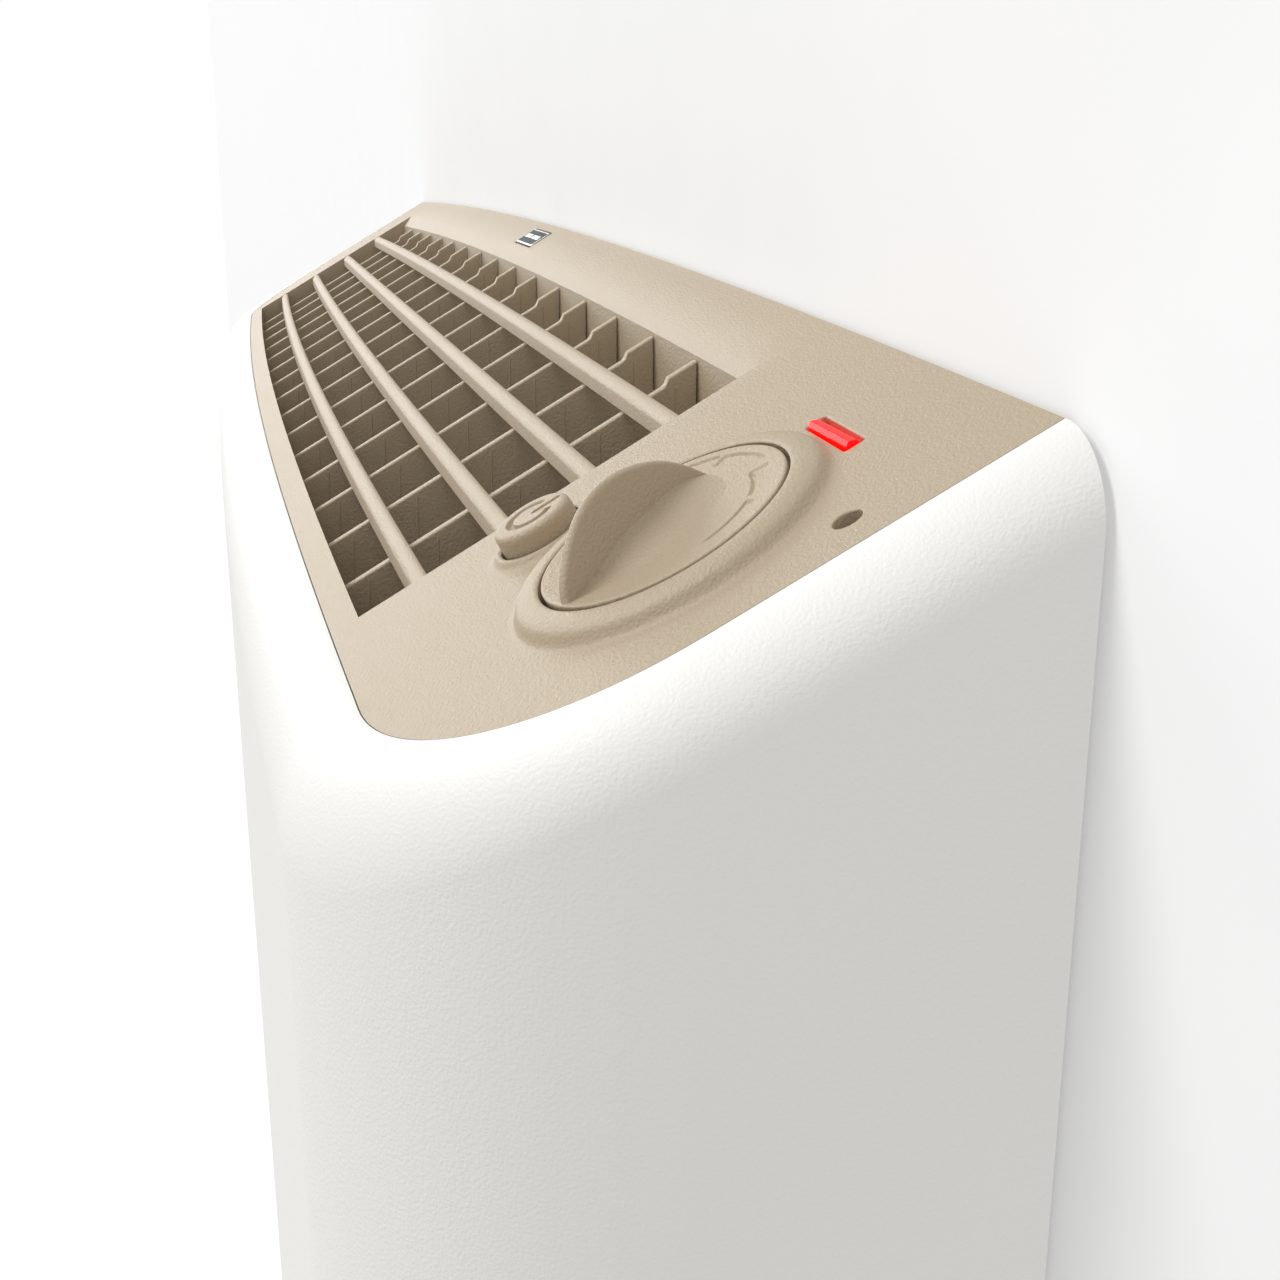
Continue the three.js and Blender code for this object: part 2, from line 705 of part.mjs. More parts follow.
// pan-head screw pointing up +Z from its head's underside at the given height
function screw(underHead, length, headRadius, headHeight, shankRadius) {
  return latheAlongZ([
    [0, underHead - headHeight], [headRadius * 0.7, underHead - headHeight],
    [headRadius, underHead - headHeight * 0.5], [headRadius, underHead], [shankRadius, underHead],
    [shankRadius, underHead + length - 1], [0, underHead + length],
  ], 8);
}

controlBosses.forEach(([x, y], i) => {
  const piece = screw(controlPlateTop - 1.5, 6, 3.2, 1.8, 1.4).translate(x, y, 0);
  addMesh(`control_screw_${i + 1}`, piece, screwSteel(), knobFace);
});

// ---------------------------------------------------------------- back cover and its screws

const coverTop = 196;
const coverBottom = casingBottom + 2 * casingThickness + 2 * fitGap + 0.6;
const hookX = 150;
const hookZ = 40;
const ductScrewPlaces = [[-254, -60], [-254, 60], [211, -60], [211, 60]];
const glandX = 300;
const glandZ = -178;

function backCover() {
  const inset = casingThickness + fitGap + 0.7;
  const topCorner = 12;
  const right = [
    [sideWallX(coverBottom) - inset, coverBottom],
    [sideWallX(coverTop - topCorner) - inset, coverTop - topCorner],
    [sideWallX(coverTop - topCorner) - inset - topCorner, coverTop],
  ];
  const left = right.map(([x, z]) => [-x, z]).reverse();
  const plate = prism([...right, ...left], 0, backCoverThickness)
    .rotateX(Math.PI / 2)
    .translate(0, coverRearY, 0);
  const holes = [];
  for (const side of [-1, 1]) {
    for (const z of coverScrewHeights) {
      holes.push(cylinderAlongY(screwHoleRadius, coverFrontY - 2, coverRearY + 2, side * coverScrewX, z));
    }
    holes.push(boxGeometry(
      [side * hookX - 14, coverFrontY - 2, hookZ - 15],
      [side * hookX + 14, coverRearY + 2, hookZ + 2.4],
    ));
  }
  for (const [x, z] of ductScrewPlaces) {
    holes.push(cylinderAlongY(screwHoleRadius, coverFrontY - 2, coverRearY + 2, x, z));
  }
  holes.push(cylinderAlongY(8.4, coverFrontY - 2, coverRearY + 2, glandX, glandZ, 20));
  return toGeometry(cut(toSolid(plate), ...holes.map(toSolid)));
}

addMesh('back_cover', backCover(), zincSteel());

// screw driven forward (-Y) from the recess behind the back cover
function coverScrew(length) {
  return screw(0, length, 3.8, 2.2, 1.7).rotateX(Math.PI / 2);
}

const coverScrewPlaces = [-1, 1].flatMap((side) => coverScrewHeights.map((z) => [side * coverScrewX, z]));
coverScrewPlaces.forEach(([x, z], i) => {
  addMesh(`cover_screw_${i + 1}`, coverScrew(13), screwSteel()).position.set(x, coverRearY + fitGap, z);
});
ductScrewPlaces.forEach(([x, z], i) => {
  addMesh(`duct_screw_${i + 1}`, coverScrew(8), screwSteel()).position.set(x, coverRearY + fitGap, z);
});

// moulded bush where the supply cord goes in
addMesh('cord_gland', latheAlongZ([
  [4.5, -4.5], [8, -4.5], [8, -0.4], [11, -0.4], [11, 2.6], [7, 3.4], [4.5, 3.4], [4.5, -4.5],
], 20).rotateX(-Math.PI / 2), rubber()).position.set(glandX, coverRearY + 0.4, glandZ);

// ---------------------------------------------------------------- wall bracket

const bracketHalfWidth = 190;
const bracketHalfHeight = 60;
const bracketThickness = 1.5;

function wallBracket() {
  const plate = box(
    [-bracketHalfWidth, -bracketThickness, -bracketHalfHeight],
    [bracketHalfWidth, 0, bracketHalfHeight],
  );
  const flanges = [-1, 1].map((side) => {
    const edges = [side * (bracketHalfHeight - bracketThickness), side * bracketHalfHeight]
      .sort((a, b) => a - b);
    return box([-bracketHalfWidth, -5, edges[0]], [bracketHalfWidth, -1, edges[1]]);
  });
  const hooks = [-1, 1].flatMap((side) => {
    const low = side * hookX - 11;
    const high = side * hookX + 11;
    const tipY = coverFrontY - 2.6;
    return [
      box([low, tipY, hookZ], [high, -1, hookZ + bracketThickness]),
      box([low, tipY, hookZ], [high, tipY + bracketThickness, hookZ + 12]),
    ];
  });
  const keyholes = [-1, 1].flatMap((sideX) => [-1, 1].map((sideZ) => {
    return toSolid(cylinderAlongY(3, -4, 2, sideX * 165, sideZ * 38 - 8, 16));
  }));
  return toGeometry(cut(join(plate, ...flanges, ...hooks), ...keyholes));
}

addMesh('wall_bracket', wallBracket(), zincSteel());

// ---------------------------------------------------------------- base intake grille

function intakeGrille() {
  const z0 = casingBottom + casingThickness + fitGap;
  const inset = casingOverhang - casingThickness - fitGap;
  const outline = stations.map((s) => wallPoint(s, inset, z0)).map((p) => [p.x, Math.min(p.y, -4)]);
  const plate = toSolid(prism(outline, z0, z0 + casingThickness));
  const slotCount = 38;
  const slotPitch = 15;
  const slots = [];
  for (let i = 0; i < slotCount; i += 1) {
    const x = (i - (slotCount - 1) / 2) * slotPitch;
    slots.push(toSolid(boxGeometry([x - 3.5, -80, z0 - 2], [x + 3.5, -22, z0 + 6])));
  }
  return toGeometry(cut(plate, ...slots));
}

addMesh('intake_grille', intakeGrille(), brownPlastic());

// ---------------------------------------------------------------- cross-flow fan

function fanBlade(angle) {
  const innerRadius = 21;
  const steps = 2;
  const outer = [];
  const inner = [];
  for (let i = 0; i <= steps; i += 1) {
    const radius = innerRadius + ((fanRadius - 0.3 - innerRadius) * i) / steps;
    const lean = angle + 0.22 * (i / steps) ** 2;
    outer.push([Math.cos(lean) * radius, Math.sin(lean) * radius]);
    inner.unshift([Math.cos(lean + 0.9 / radius) * radius, Math.sin(lean + 0.9 / radius) * radius]);
  }
  return toSolid(prismAlongX([...outer, ...inner], fanLeftX + 0.6, fanRightX - 0.6));
}

function fanWheel() {
  const discThickness = 2;
  const discs = [];
  const ends = [fanLeftX, fanRightX - discThickness];
  for (const x of ends) {
    discs.push(toSolid(cylinderAlongX(fanRadius, x, x + discThickness, 0, 0, 30)));
    const hubStart = x === fanLeftX ? x : x - 8;
    discs.push(toSolid(cylinderAlongX(7, hubStart, hubStart + 10, 0, 0, 20)));
  }
  const span = fanRightX - fanLeftX;
  for (const share of [1 / 3, 2 / 3]) {
    const x = fanLeftX + span * share;
    const rim = toSolid(cylinderAlongX(fanRadius, x - 0.8, x + 0.8, 0, 0, 30));
    discs.push(cut(rim, toSolid(cylinderAlongX(20.5, x - 2, x + 2, 0, 0, 30))));
  }
  const blades = [];
  for (let i = 0; i < fanBladeCount; i += 1) {
    blades.push(fanBlade((i / fanBladeCount) * Math.PI * 2));
  }
  const bore = toSolid(cylinderAlongX(shaftRadius + 0.3, fanLeftX - 5, fanRightX + 5, 0, 0, 16));
  return toGeometry(cut(join(...discs, ...blades), bore));
}

addMesh('fan_wheel', fanWheel(), aluminium()).position.set(0, fanAxisY, fanAxisZ);
addMesh('fan_shaft', cylinderAlongX(shaftRadius, -258, 226, 0, 0, 16), screwSteel())
  .position.set(0, fanAxisY, fanAxisZ);

// ring on the fan's axis from [radius, x] pairs
function ringOnFanAxis(name, profile, finish) {
  const geometry = latheAlongZ(profile, 20).rotateY(Math.PI / 2);
  addMesh(name, geometry, finish).position.set(0, fanAxisY, fanAxisZ);
}

const bushRadius = 7.5;
ringOnFanAxis('bearing_bush', [
  [shaftRadius + 0.3, -258], [bushRadius, -258], [bushRadius, -250],
  [shaftRadius + 0.3, -250], [shaftRadius + 0.3, -258],
], bronze());
ringOnFanAxis('bearing_housing', [
  [bushRadius + 0.3, -260], [12, -260], [16, -253], [16, -247.4],
  [bushRadius + 0.3, -247.4], [bushRadius + 0.3, -260],
], rubber());
ringOnFanAxis('fan_motor', [
  [shaftRadius + 0.4, 205], [9, 205], [9, 208], [27, 208], [28, 210], [28, 244], [26, 248], [10, 248],
  [9, 252], [0, 252], [0, 228], [shaftRadius + 0.4, 228], [shaftRadius + 0.4, 205],
], zincSteel());

// ---------------------------------------------------------------- air duct

const rearScrollLine = [
  [-64, -155], [-52, -157], [-38, -152], [-25, -140], [-18.5, -120], [-17, -90], [-17, -30], [-17, 88],
];
const frontDuctLine = [[-76, -90], [-82, -88], [-86, -78], [-88, -50], [-88, 88]];
const rearScroll = sheetOutline(rearScrollLine, -sheetThickness, 18);
const frontDuct = sheetOutline(frontDuctLine, sheetThickness, 12);
addMesh('scroll_rear', prismAlongX(rearScroll, ductLeftX, ductRightX), zincSteel());
addMesh('duct_front', prismAlongX(frontDuct, ductLeftX, ductRightX), zincSteel());

// end plate with a flange that the duct screws hold to the back cover
function endPlate(side) {
  const near = side < 0 ? ductLeftX - 2 : ductRightX + 0.5;
  const x0 = near;
  const x1 = near + sheetThickness;
  const outline = [
    [-40, -166], [-14, -150], [coverFrontY - fitGap, -90], [coverFrontY - fitGap, 128],
    [-90, 128], [-91, -60], [-82, -100], [-78, -150],
  ];
  const flangeEnds = side < 0 ? [x1 - 14, x1] : [x0, x0 + 16];
  const flange = box(
    [flangeEnds[0], coverFrontY - fitGap - sheetThickness, -85],
    [flangeEnds[1], coverFrontY - fitGap, 80],
  );
  const holes = ductScrewPlaces.map(([x, z]) => {
    return toSolid(cylinderAlongY(screwHoleRadius, coverFrontY - 6, coverFrontY + 1, x, z));
  });
  const shaftHole = toSolid(cylinderAlongX(6, x0 - 2, x1 + 2, fanAxisY, fanAxisZ));
  return toGeometry(cut(join(toSolid(prismAlongX(outline, x0, x1)), flange), shaftHole, ...holes));
}

addMesh('end_plate_left', endPlate(-1), zincSteel());
addMesh('end_plate_right', endPlate(1), zincSteel());

// chimney between the element and the grille, cut off below the slats
function outletDuct() {
  const outer = toSolid(boxGeometry([ductLeftX + 1, -88, elementTop + fitGap], [ductRightX - 1, -18, 200]));
  const inner = toSolid(boxGeometry([ductLeftX + 3, -86, elementTop - 5], [ductRightX - 3, -20, 210]));
  const above = faceLayer(-260, 220, -100, 0, -40, slatBottom + 1.5, 10);
  return toGeometry(cut(outer, inner, above));
}

addMesh('outlet_duct', outletDuct(), zincSteel());

// ---------------------------------------------------------------- ceramic heating element

const stackBack = -24;
const ceramicThickness = 2.6;
const finDepth = 11.6;
const stackBottom = 98;
const stackTop = 122;
const stackLeftX = -232;
const stackRightX = 188;

function elementFrame() {
  const outer = box([ductLeftX + 1, -88, elementBottom], [ductRightX - 1, -18, elementTop]);
  const window = box([stackLeftX - 4, -84, elementBottom - 5], [stackRightX + 4, -22, elementTop + 5]);
  const ribs = [-120, -22, 76].flatMap((x) => [
    box([x - 2, -86, elementBottom], [x + 2, -20, stackBottom - 1]),
    box([x - 2, -86, stackTop + 1], [x + 2, -20, elementTop]),
  ]);
  return toGeometry(join(cut(outer, window), ...ribs));
}

addMesh('element_frame', elementFrame(), mica());

// corrugated strip that carries the ceramic's heat into the air
function finStrip() {
  const folds = 46;
  const half = 0.35;
  const step = (stackRightX - stackLeftX) / folds;
  const upper = [];
  const lower = [];
  for (let i = 0; i <= folds; i += 1) {
    const x = stackLeftX + step * i;
    const y = i % 2 === 0 ? 0.9 : finDepth - 0.9;
    upper.push([x, y + 3 * half]);
    lower.unshift([x, y - 3 * half + 0.3]);
  }
  return prism([...upper, ...lower], stackBottom, stackTop);
}

const stackPitch = finDepth + ceramicThickness + 2 * fitGap;
for (let i = 0; i < 4; i += 1) {
  addMesh(`heat_fins_${i + 1}`, finStrip(), aluminium()).position.y = stackBack - finDepth - stackPitch * i;
}
for (let i = 0; i < 3; i += 1) {
  const back = stackBack - finDepth - fitGap - stackPitch * i;
  const bar = join(
    box([stackLeftX, back - ceramicThickness, stackBottom], [stackRightX, back, stackTop]),
    box([stackRightX - 1, back - 1.8, 106], [stackRightX + 3, back - 0.8, 112]),
  );
  addMesh(`ceramic_bar_${i + 1}`, toGeometry(bar), ceramicGrey());
}

addMesh('heat_shield', boxGeometry([-240, -92.4, 60], [196, -91.6, 134]), aluminium());

// ---------------------------------------------------------------- safety cut-out, wiring and thermostat bulb

const sensorX = ductRightX + 0.5 + sheetThickness + fitGap;
addMesh('thermal_cutout', toGeometry(join(
  toSolid(cylinderAlongX(8, sensorX, sensorX + 8, -54, 76, 24)),
  box([sensorX, -66, 72], [sensorX + 1, -42, 80]),
)), blackPlastic());

const blockX = 300;
const blockBottom = -140;
const blockTop = -116;
const terminalScrewHoles = [-12, 0, 12].map((x) => {
  return toSolid(cylinderAlongY(2.4, -30, -20, blockX + x, (blockBottom + blockTop) / 2, 12));
});
addMesh('terminal_block', toGeometry(cut(
  box([blockX - 20, -27, blockBottom], [blockX + 20, coverFrontY - fitGap, blockTop]),
  ...terminalScrewHoles,
)), creamPlastic());

addMesh('lead_switch', lead([
  [288, -18, blockTop + 0.4], [287, -22, -60], [282, -36, 40],
  [272, -44, 110], [262, -41, 150], [258, -40, 160],
], 1.3, 14), copper());
addMesh('lead_thermostat', lead([
  [300, -18, blockTop + 0.4], [306, -20, -60], [312, -26, 40], [306, -30, 110], [296, -28, 158],
], 1.3, 14), copper());
addMesh('lead_motor', lead([
  [283, -28.9, -128], [272, -38, -120], [262, -48, -116], [253.5, -56, -118],
], 1.3, 8), copper());
addMesh('lead_element', lead([
  [312, -18, blockTop + 0.4], [318, -34, -60], [280, -56, 20], [240, -56, 60], [sensorX + 8.6, -54, 76],
], 1.3, 14), copper());

// capillary tube with a closed sensing bulb in the incoming air
const bulbLine = lead([
  [306, -50, 164], [322, -58, 120], [324, -62, 20], [318, -64, -100], [300, -64, -170],
], 1.1, 16);
const bulb = new THREE.CapsuleGeometry(3, 40, 4, 10).rotateZ(Math.PI / 2).translate(278, -64, -172);
addMesh('capillary_bulb', toGeometry(join(toSolid(bulbLine), toSolid(bulb))), copper());

export default heater;
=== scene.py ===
"""A wall-hung ceramic fan heater: white moulded casing, beige outlet panel, dial knob and button."""
import math

import bmesh
import bpy
from mathutils import Matrix, Vector
from mathutils.geometry import delaunay_2d_cdt


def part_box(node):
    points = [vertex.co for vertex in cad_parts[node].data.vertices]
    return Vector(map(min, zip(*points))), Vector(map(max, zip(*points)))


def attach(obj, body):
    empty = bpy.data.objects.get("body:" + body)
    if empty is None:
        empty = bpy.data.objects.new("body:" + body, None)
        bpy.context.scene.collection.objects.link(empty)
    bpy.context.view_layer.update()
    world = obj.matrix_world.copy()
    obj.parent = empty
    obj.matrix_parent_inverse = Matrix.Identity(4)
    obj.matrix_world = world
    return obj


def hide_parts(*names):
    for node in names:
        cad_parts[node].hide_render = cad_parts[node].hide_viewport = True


bpy.ops.wm.read_factory_settings(use_empty=True)
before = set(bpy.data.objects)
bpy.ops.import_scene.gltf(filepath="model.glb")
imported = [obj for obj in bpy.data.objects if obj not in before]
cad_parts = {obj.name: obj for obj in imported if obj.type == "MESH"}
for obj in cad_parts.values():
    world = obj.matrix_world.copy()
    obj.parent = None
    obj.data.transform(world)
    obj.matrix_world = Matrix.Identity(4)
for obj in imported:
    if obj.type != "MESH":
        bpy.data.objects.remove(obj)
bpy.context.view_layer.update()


# ---------------------------------------------------------------- camera
# It looks down along the heater from above its controls' end, close by, with a 50 mm lens.

camera_data = bpy.data.cameras.new("camera")
camera_data.lens = 50.0
camera_data.sensor_width = 36.0
camera_data.clip_start = 0.01
camera = bpy.data.objects.new("camera", camera_data)
bpy.context.scene.collection.objects.link(camera)
camera_right = Vector((0.23103, 0.97295, -0.00134))
camera_up = Vector((-0.26939, 0.06529, 0.96082))
camera_back = camera_right.cross(camera_up)
camera_turn = Matrix((camera_right, camera_up, camera_back)).transposed()
camera.matrix_world = Matrix.Translation((0.5338, -0.1013, 0.2491)) @ camera_turn.to_4x4()
bpy.context.scene.camera = camera


# ---------------------------------------------------------------- white casing
# The shell is one injection moulding in white ABS: a wall about 3 mm thick with a big rolled edge
# round the top, drafted sides and a small radius at the base. It is screwed to the back cover.

mm = 0.001
panel_low, panel_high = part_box("top_panel")
casing_low, casing_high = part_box("front_casing")

wall_gap = -panel_high.y
half_width = panel_high.x
panel_crown = 6 * mm
back_height = panel_high.z - panel_crown
panel_slope = math.radians(30)
front_y = panel_low.y
front_bow = 5.3 * mm
corner_start = Vector((288 * mm, front_y + front_bow))
corner_end = Vector((332.9 * mm, -45.2 * mm))
casing_overhang = casing_high.x - half_width
front_fillet_height = 21 * mm
casing_thickness = 3 * mm
side_draft = 0.0175
front_draft = 0.0076
casing_bottom = casing_low.z
fit_gap = 0.4 * mm
panel_thickness = 3.4 * mm


def face_height(x, y):
    """Height of the sloped, crowned top face over a point in plan."""
    crown = panel_crown * (1 - (x / half_width) ** 2)
    return back_height + crown + (y + wall_gap) * math.tan(panel_slope)


def bezier(points, t):
    """A point on the Bezier curve with these control points."""
    while len(points) > 1:
        points = [a.lerp(b, t) for a, b in zip(points, points[1:])]
    return points[0]


def panel_outline(side_steps, corner_steps, front_steps):
    """(point, outward normal) pairs in plan from the right back corner round to the left one."""
    side_lean = (half_width - corner_end.x) / (-wall_gap - corner_end.y)
    bow_fall = 2 * front_bow / corner_start.x
    reach_x = 0.55 * (corner_end.x - corner_start.x)
    reach_y = 0.55 * (corner_end.y - corner_start.y)
    pieces = [
        ([Vector((half_width, -wall_gap)), corner_end], side_steps),
        ([
            corner_end,
            Vector((corner_end.x - side_lean * reach_y, corner_end.y - reach_y)),
            Vector((corner_start.x + reach_x, corner_start.y + bow_fall * reach_x)),
            corner_start,
        ], corner_steps),
        ([corner_start, Vector((corner_start.x / 2, front_y)), Vector((0, front_y))], front_steps),
    ]
    half = []
    for controls, steps in pieces:
        for i in range(1 if half else 0, steps + 1):
            t = i / steps
            along = bezier(controls, min(1, t + 1e-4)) - bezier(controls, max(0, t - 1e-4))
            half.append((bezier(controls, t), Vector((-along.y, along.x)).normalized()))
    half[0] = (half[0][0], Vector((1, 0)))
    mirrored = [(Vector((-p.x, p.y)), Vector((-n.x, n.y))) for p, n in reversed(half[:-1])]
    return half + mirrored


def fillet_height(normal):
    return casing_overhang + (front_fillet_height - casing_overhang) * normal.y ** 2


def rim_point(station, offset, drop):
    """A point at an offset outside the panel's edge and a drop below its rim."""
    point, normal = station
    place = point + normal * offset
    return Vector((place.x, place.y, face_height(point.x, point.y) - drop))


def wall_point(station, offset, z):
    """A point of the casing's wall at a height, drawn in by the moulding draft."""
    point, normal = station
    shoulder = face_height(point.x, point.y) - fillet_height(normal)
    draft = side_draft * normal.x ** 2 + front_draft * normal.y ** 2
    place = point + normal * (offset - draft * max(0, shoulder - z))
    return Vector((place.x, place.y, z))


def casing_ring(station):
    """The casing's section at one station: outer skin downwards, then the inside back up."""
    fillet_steps = 16
    rim_gap = 0.2 * mm
    base_radius = 5 * mm
    base_steps = 5
    base_flange = 14 * mm
    ledge_drop = panel_thickness + fit_gap
    side_ledge, front_ledge = 6 * mm, 1.6 * mm
    ledge_thickness = 3 * mm
    rim_thickness = 3 * mm
    normal = station[1]
    height = fillet_height(normal)
    ledge = side_ledge + (front_ledge - side_ledge) * normal.y ** 2
    ring = []
    for i in range(fillet_steps + 1):
        angle = i / fillet_steps * math.pi / 2
        offset = rim_gap + (casing_overhang - rim_gap) * math.sin(angle)
        ring.append(rim_point(station, offset, height * (1 - math.cos(angle))))
    shoulder = ring[-1].z
    base_start = casing_bottom + base_radius
    for share in (0.02, 0.1, 0.35, 0.65, 0.9, 0.98):
        ring.append(wall_point(station, casing_overhang, shoulder + (base_start - shoulder) * share))
    for i in range(base_steps + 1):
        angle = i / base_steps * math.pi / 2
        offset = casing_overhang - base_radius * (1 - math.cos(angle))
        ring.append(wall_point(station, offset, base_start - base_radius * math.sin(angle)))
    inner = casing_overhang - casing_thickness
    ring.append(wall_point(station, casing_overhang - base_flange, casing_bottom))
    ring.append(wall_point(station, casing_overhang - base_flange, casing_bottom + casing_thickness))
    ring.append(wall_point(station, inner, casing_bottom + casing_thickness))
    ring.append(rim_point(station, inner, height + 2 * mm))
    ring.append(rim_point(station, inner - rim_thickness, ledge_drop + ledge_thickness + 1 * mm))
    ring.append(rim_point(station, -ledge, ledge_drop + ledge_thickness))
    ring.append(rim_point(station, -ledge, ledge_drop))
    ring.append(rim_point(station, rim_gap, ledge_drop))
    return ring


def loft(rings, points, faces):
    """Adds a closed skin through rings of equal length, with both ends capped."""
    start = len(points)
    size = len(rings[0])
    for ring in rings:
        points.extend(ring)
    for i in range(len(rings) - 1):
        for j in range(size):
            a = start + i * size + j
            b = start + i * size + (j + 1) % size
            faces.append((a, b, b + size, a + size))
    faces.append(tuple(start + j for j in reversed(range(size))))
    faces.append(tuple(start + (len(rings) - 1) * size + j for j in range(size)))


def make_piece(name, points, faces, material, sharp_angle=35):
    """A smooth-shaded object, creased where its faces meet at more than the angle."""
    mesh = bpy.data.meshes.new(name)
    mesh.from_pydata([tuple(p) for p in points], [], faces)
    welded = bmesh.new()
    welded.from_mesh(mesh)
    bmesh.ops.remove_doubles(welded, verts=welded.verts, dist=1e-6)
    unused = [vert for vert in welded.verts if not vert.link_faces]
    bmesh.ops.delete(welded, geom=unused, context="VERTS")
    bmesh.ops.recalc_face_normals(welded, faces=welded.faces)
    welded.to_mesh(mesh)
    welded.free()
    mesh.materials.append(material)
    mesh.shade_smooth()
    mesh.set_sharp_from_angle(angle=math.radians(sharp_angle))
    piece = bpy.data.objects.new(name, mesh)
    bpy.context.scene.collection.objects.link(piece)
    weights = piece.modifiers.new("face weights", "WEIGHTED_NORMAL")
    weights.keep_sharp = True
    return piece


def linear(hex_colour):
    """An sRGB hex colour as linear red, green, blue and alpha."""
    channels = [int(hex_colour[i:i + 2], 16) / 255 for i in (1, 3, 5)]
    return tuple(c / 12.92 if c <= 0.04045 else ((c + 0.055) / 1.055) ** 2.4 for c in channels) + (1.0,)


def add_node(tree, kind, settings=None, inputs=None, links=None):
    """Adds a node with its properties, its inputs' values and the sockets linked to its inputs."""
    node = tree.nodes.new(kind)
    for key, value in (settings or {}).items():
        setattr(node, key, value)
    for key, value in (inputs or {}).items():
        node.inputs[key].default_value = value
    for key, source in (links or {}).items():
        tree.links.new(source, node.inputs[key])
    return node


def new_material(name):
    """An empty node material and its shader, already linked to the output."""
    material = bpy.data.materials.new(name)
    material.use_nodes = True
    tree = material.node_tree
    return material, tree, tree.nodes["Principled BSDF"]


def grained_abs(name, colours, drift_size, drift_detail, grain_roughness, grain_depth, roughness):
    """Moulded ABS: leather grain in its relief and gloss, and a faint drift of colour."""
    grain_size = 0.55 * mm
    material, tree, shader = new_material(name)
    place = add_node(tree, "ShaderNodeTexCoord").outputs["Object"]
    grain = add_node(
        tree, "ShaderNodeTexNoise",
        inputs={"Scale": 1 / grain_size, "Detail": 2.0, "Roughness": grain_roughness},
        links={"Vector": place},
    )
    drift = add_node(
        tree, "ShaderNodeTexNoise",
        inputs={"Scale": 1 / drift_size, "Detail": drift_detail},
        links={"Vector": place},
    )
    tone = add_node(
        tree, "ShaderNodeMix",
        settings={"data_type": "RGBA"},
        inputs={"A": linear(colours[0]), "B": linear(colours[1])},
        links={"Factor": drift.outputs["Fac"]},
    )
    bump = add_node(
        tree, "ShaderNodeBump",
        inputs={"Strength": 1.0, "Distance": grain_depth},
        links={"Height": grain.outputs["Fac"]},
    )
    gloss = add_node(
        tree, "ShaderNodeMapRange",
        inputs={"To Min": roughness[0], "To Max": roughness[1]},
        links={"Value": grain.outputs["Fac"]},
    )
    tree.links.new(tone.outputs["Result"], shader.inputs["Base Color"])
    tree.links.new(gloss.outputs["Result"], shader.inputs["Roughness"])
    tree.links.new(bump.outputs["Normal"], shader.inputs["Normal"])
    shader.inputs["IOR"].default_value = 1.54
    return material


# Moulded white ABS. A fine leather grain breaks up its soft gloss, and the colour is almost even.
# The grain's cells are about half a millimetre across, the size of the real one.
white_abs = grained_abs(
    "moulded white ABS", ("#F1F0EC", "#F4F3F0"), 60 * mm, 1.0, 0.45, 0.11 * mm, (0.46, 0.54),
)

casing_points, casing_faces = [], []
loft([casing_ring(station) for station in panel_outline(5, 26, 18)], casing_points, casing_faces)
casing = make_piece("casing_shell", casing_points, casing_faces, white_abs)
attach(casing, "housing")
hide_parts("front_casing")


# ---------------------------------------------------------------- beige top panel
# The panel is moulded in beige ABS with the same fine grain. It drops into the casing's rim, and
# the outlet's frame and bars, the raised collars of the knob and the button are part of it.

opening_near = 248 * mm
opening_far = -292 * mm
opening_back = -14.7 * mm
opening_front_middle = -85 * mm
opening_bow = 4.4 * mm
bevel_place = 12 * mm
bevel_fall = 2.4 * mm
skirt_thickness = 1.4 * mm
skirt_depth = 14 * mm
knob_x, knob_place = 297.2 * mm, 45.7 * mm
button_x, button_place = 265.5 * mm, 60 * mm
lens_x, lens_place = 296.5 * mm, 17.9 * mm
lens_length, lens_width = 16.4 * mm, 2.6 * mm
pinhole_x, pinhole_place, pinhole_radius = 325.8 * mm, 27.6 * mm, 2.1 * mm
edge_radius = 0.35 * mm
badge_place = 7 * mm
badge_width, badge_depth = 25 * mm, 7.4 * mm
badge_clearance = 0.8 * mm
badge_pocket = 0.7 * mm
knob_mouth = 20.2 * mm
button_hole = 7.2 * mm
spindle_hole = 5.8 * mm


def slope_y(place):
    """Plan position of a place measured down the slope from the panel's back edge."""
    return -wall_gap - place * math.cos(panel_slope)


def slope_place(y):
    return (-wall_gap - y) / math.cos(panel_slope)


def face_frame(x, place):
    """Matrix of a face frame: x along the heater, y up the slope, z out of the face."""
    y = slope_y(place)
    lean = math.asin(2 * panel_crown * x / half_width ** 2 * math.cos(panel_slope))
    turn = Matrix.Rotation(panel_slope, 4, "X") @ Matrix.Rotation(lean, 4, "Y")
    return Matrix.Translation((x, y, face_height(x, y))) @ turn


def on_face(x, place, rise=0.0):
    """A point at a rise along the face's normal, and never behind the panel's upright back edge."""
    y = slope_y(place)
    tilt = 2 * panel_crown * x / half_width ** 2 * math.cos(panel_slope)
    normal = Vector((tilt, -math.sin(panel_slope), math.cos(panel_slope))).normalized()
    point = Vector((x, y, face_height(x, y))) + normal * rise
    point.y = min(point.y, -wall_gap)
    return point


def profile_height(profile, radius):
    """Rise at a radius from (radius, rise) pairs, eased between them."""
    if radius >= profile[-1][0]:
        return profile[-1][1]
    for (r0, h0), (r1, h1) in zip(profile, profile[1:]):
        if radius <= r1:
            t = max(0.0, (radius - r0) / (r1 - r0))
            return h0 + (h1 - h0) * t
    return profile[-1][1]


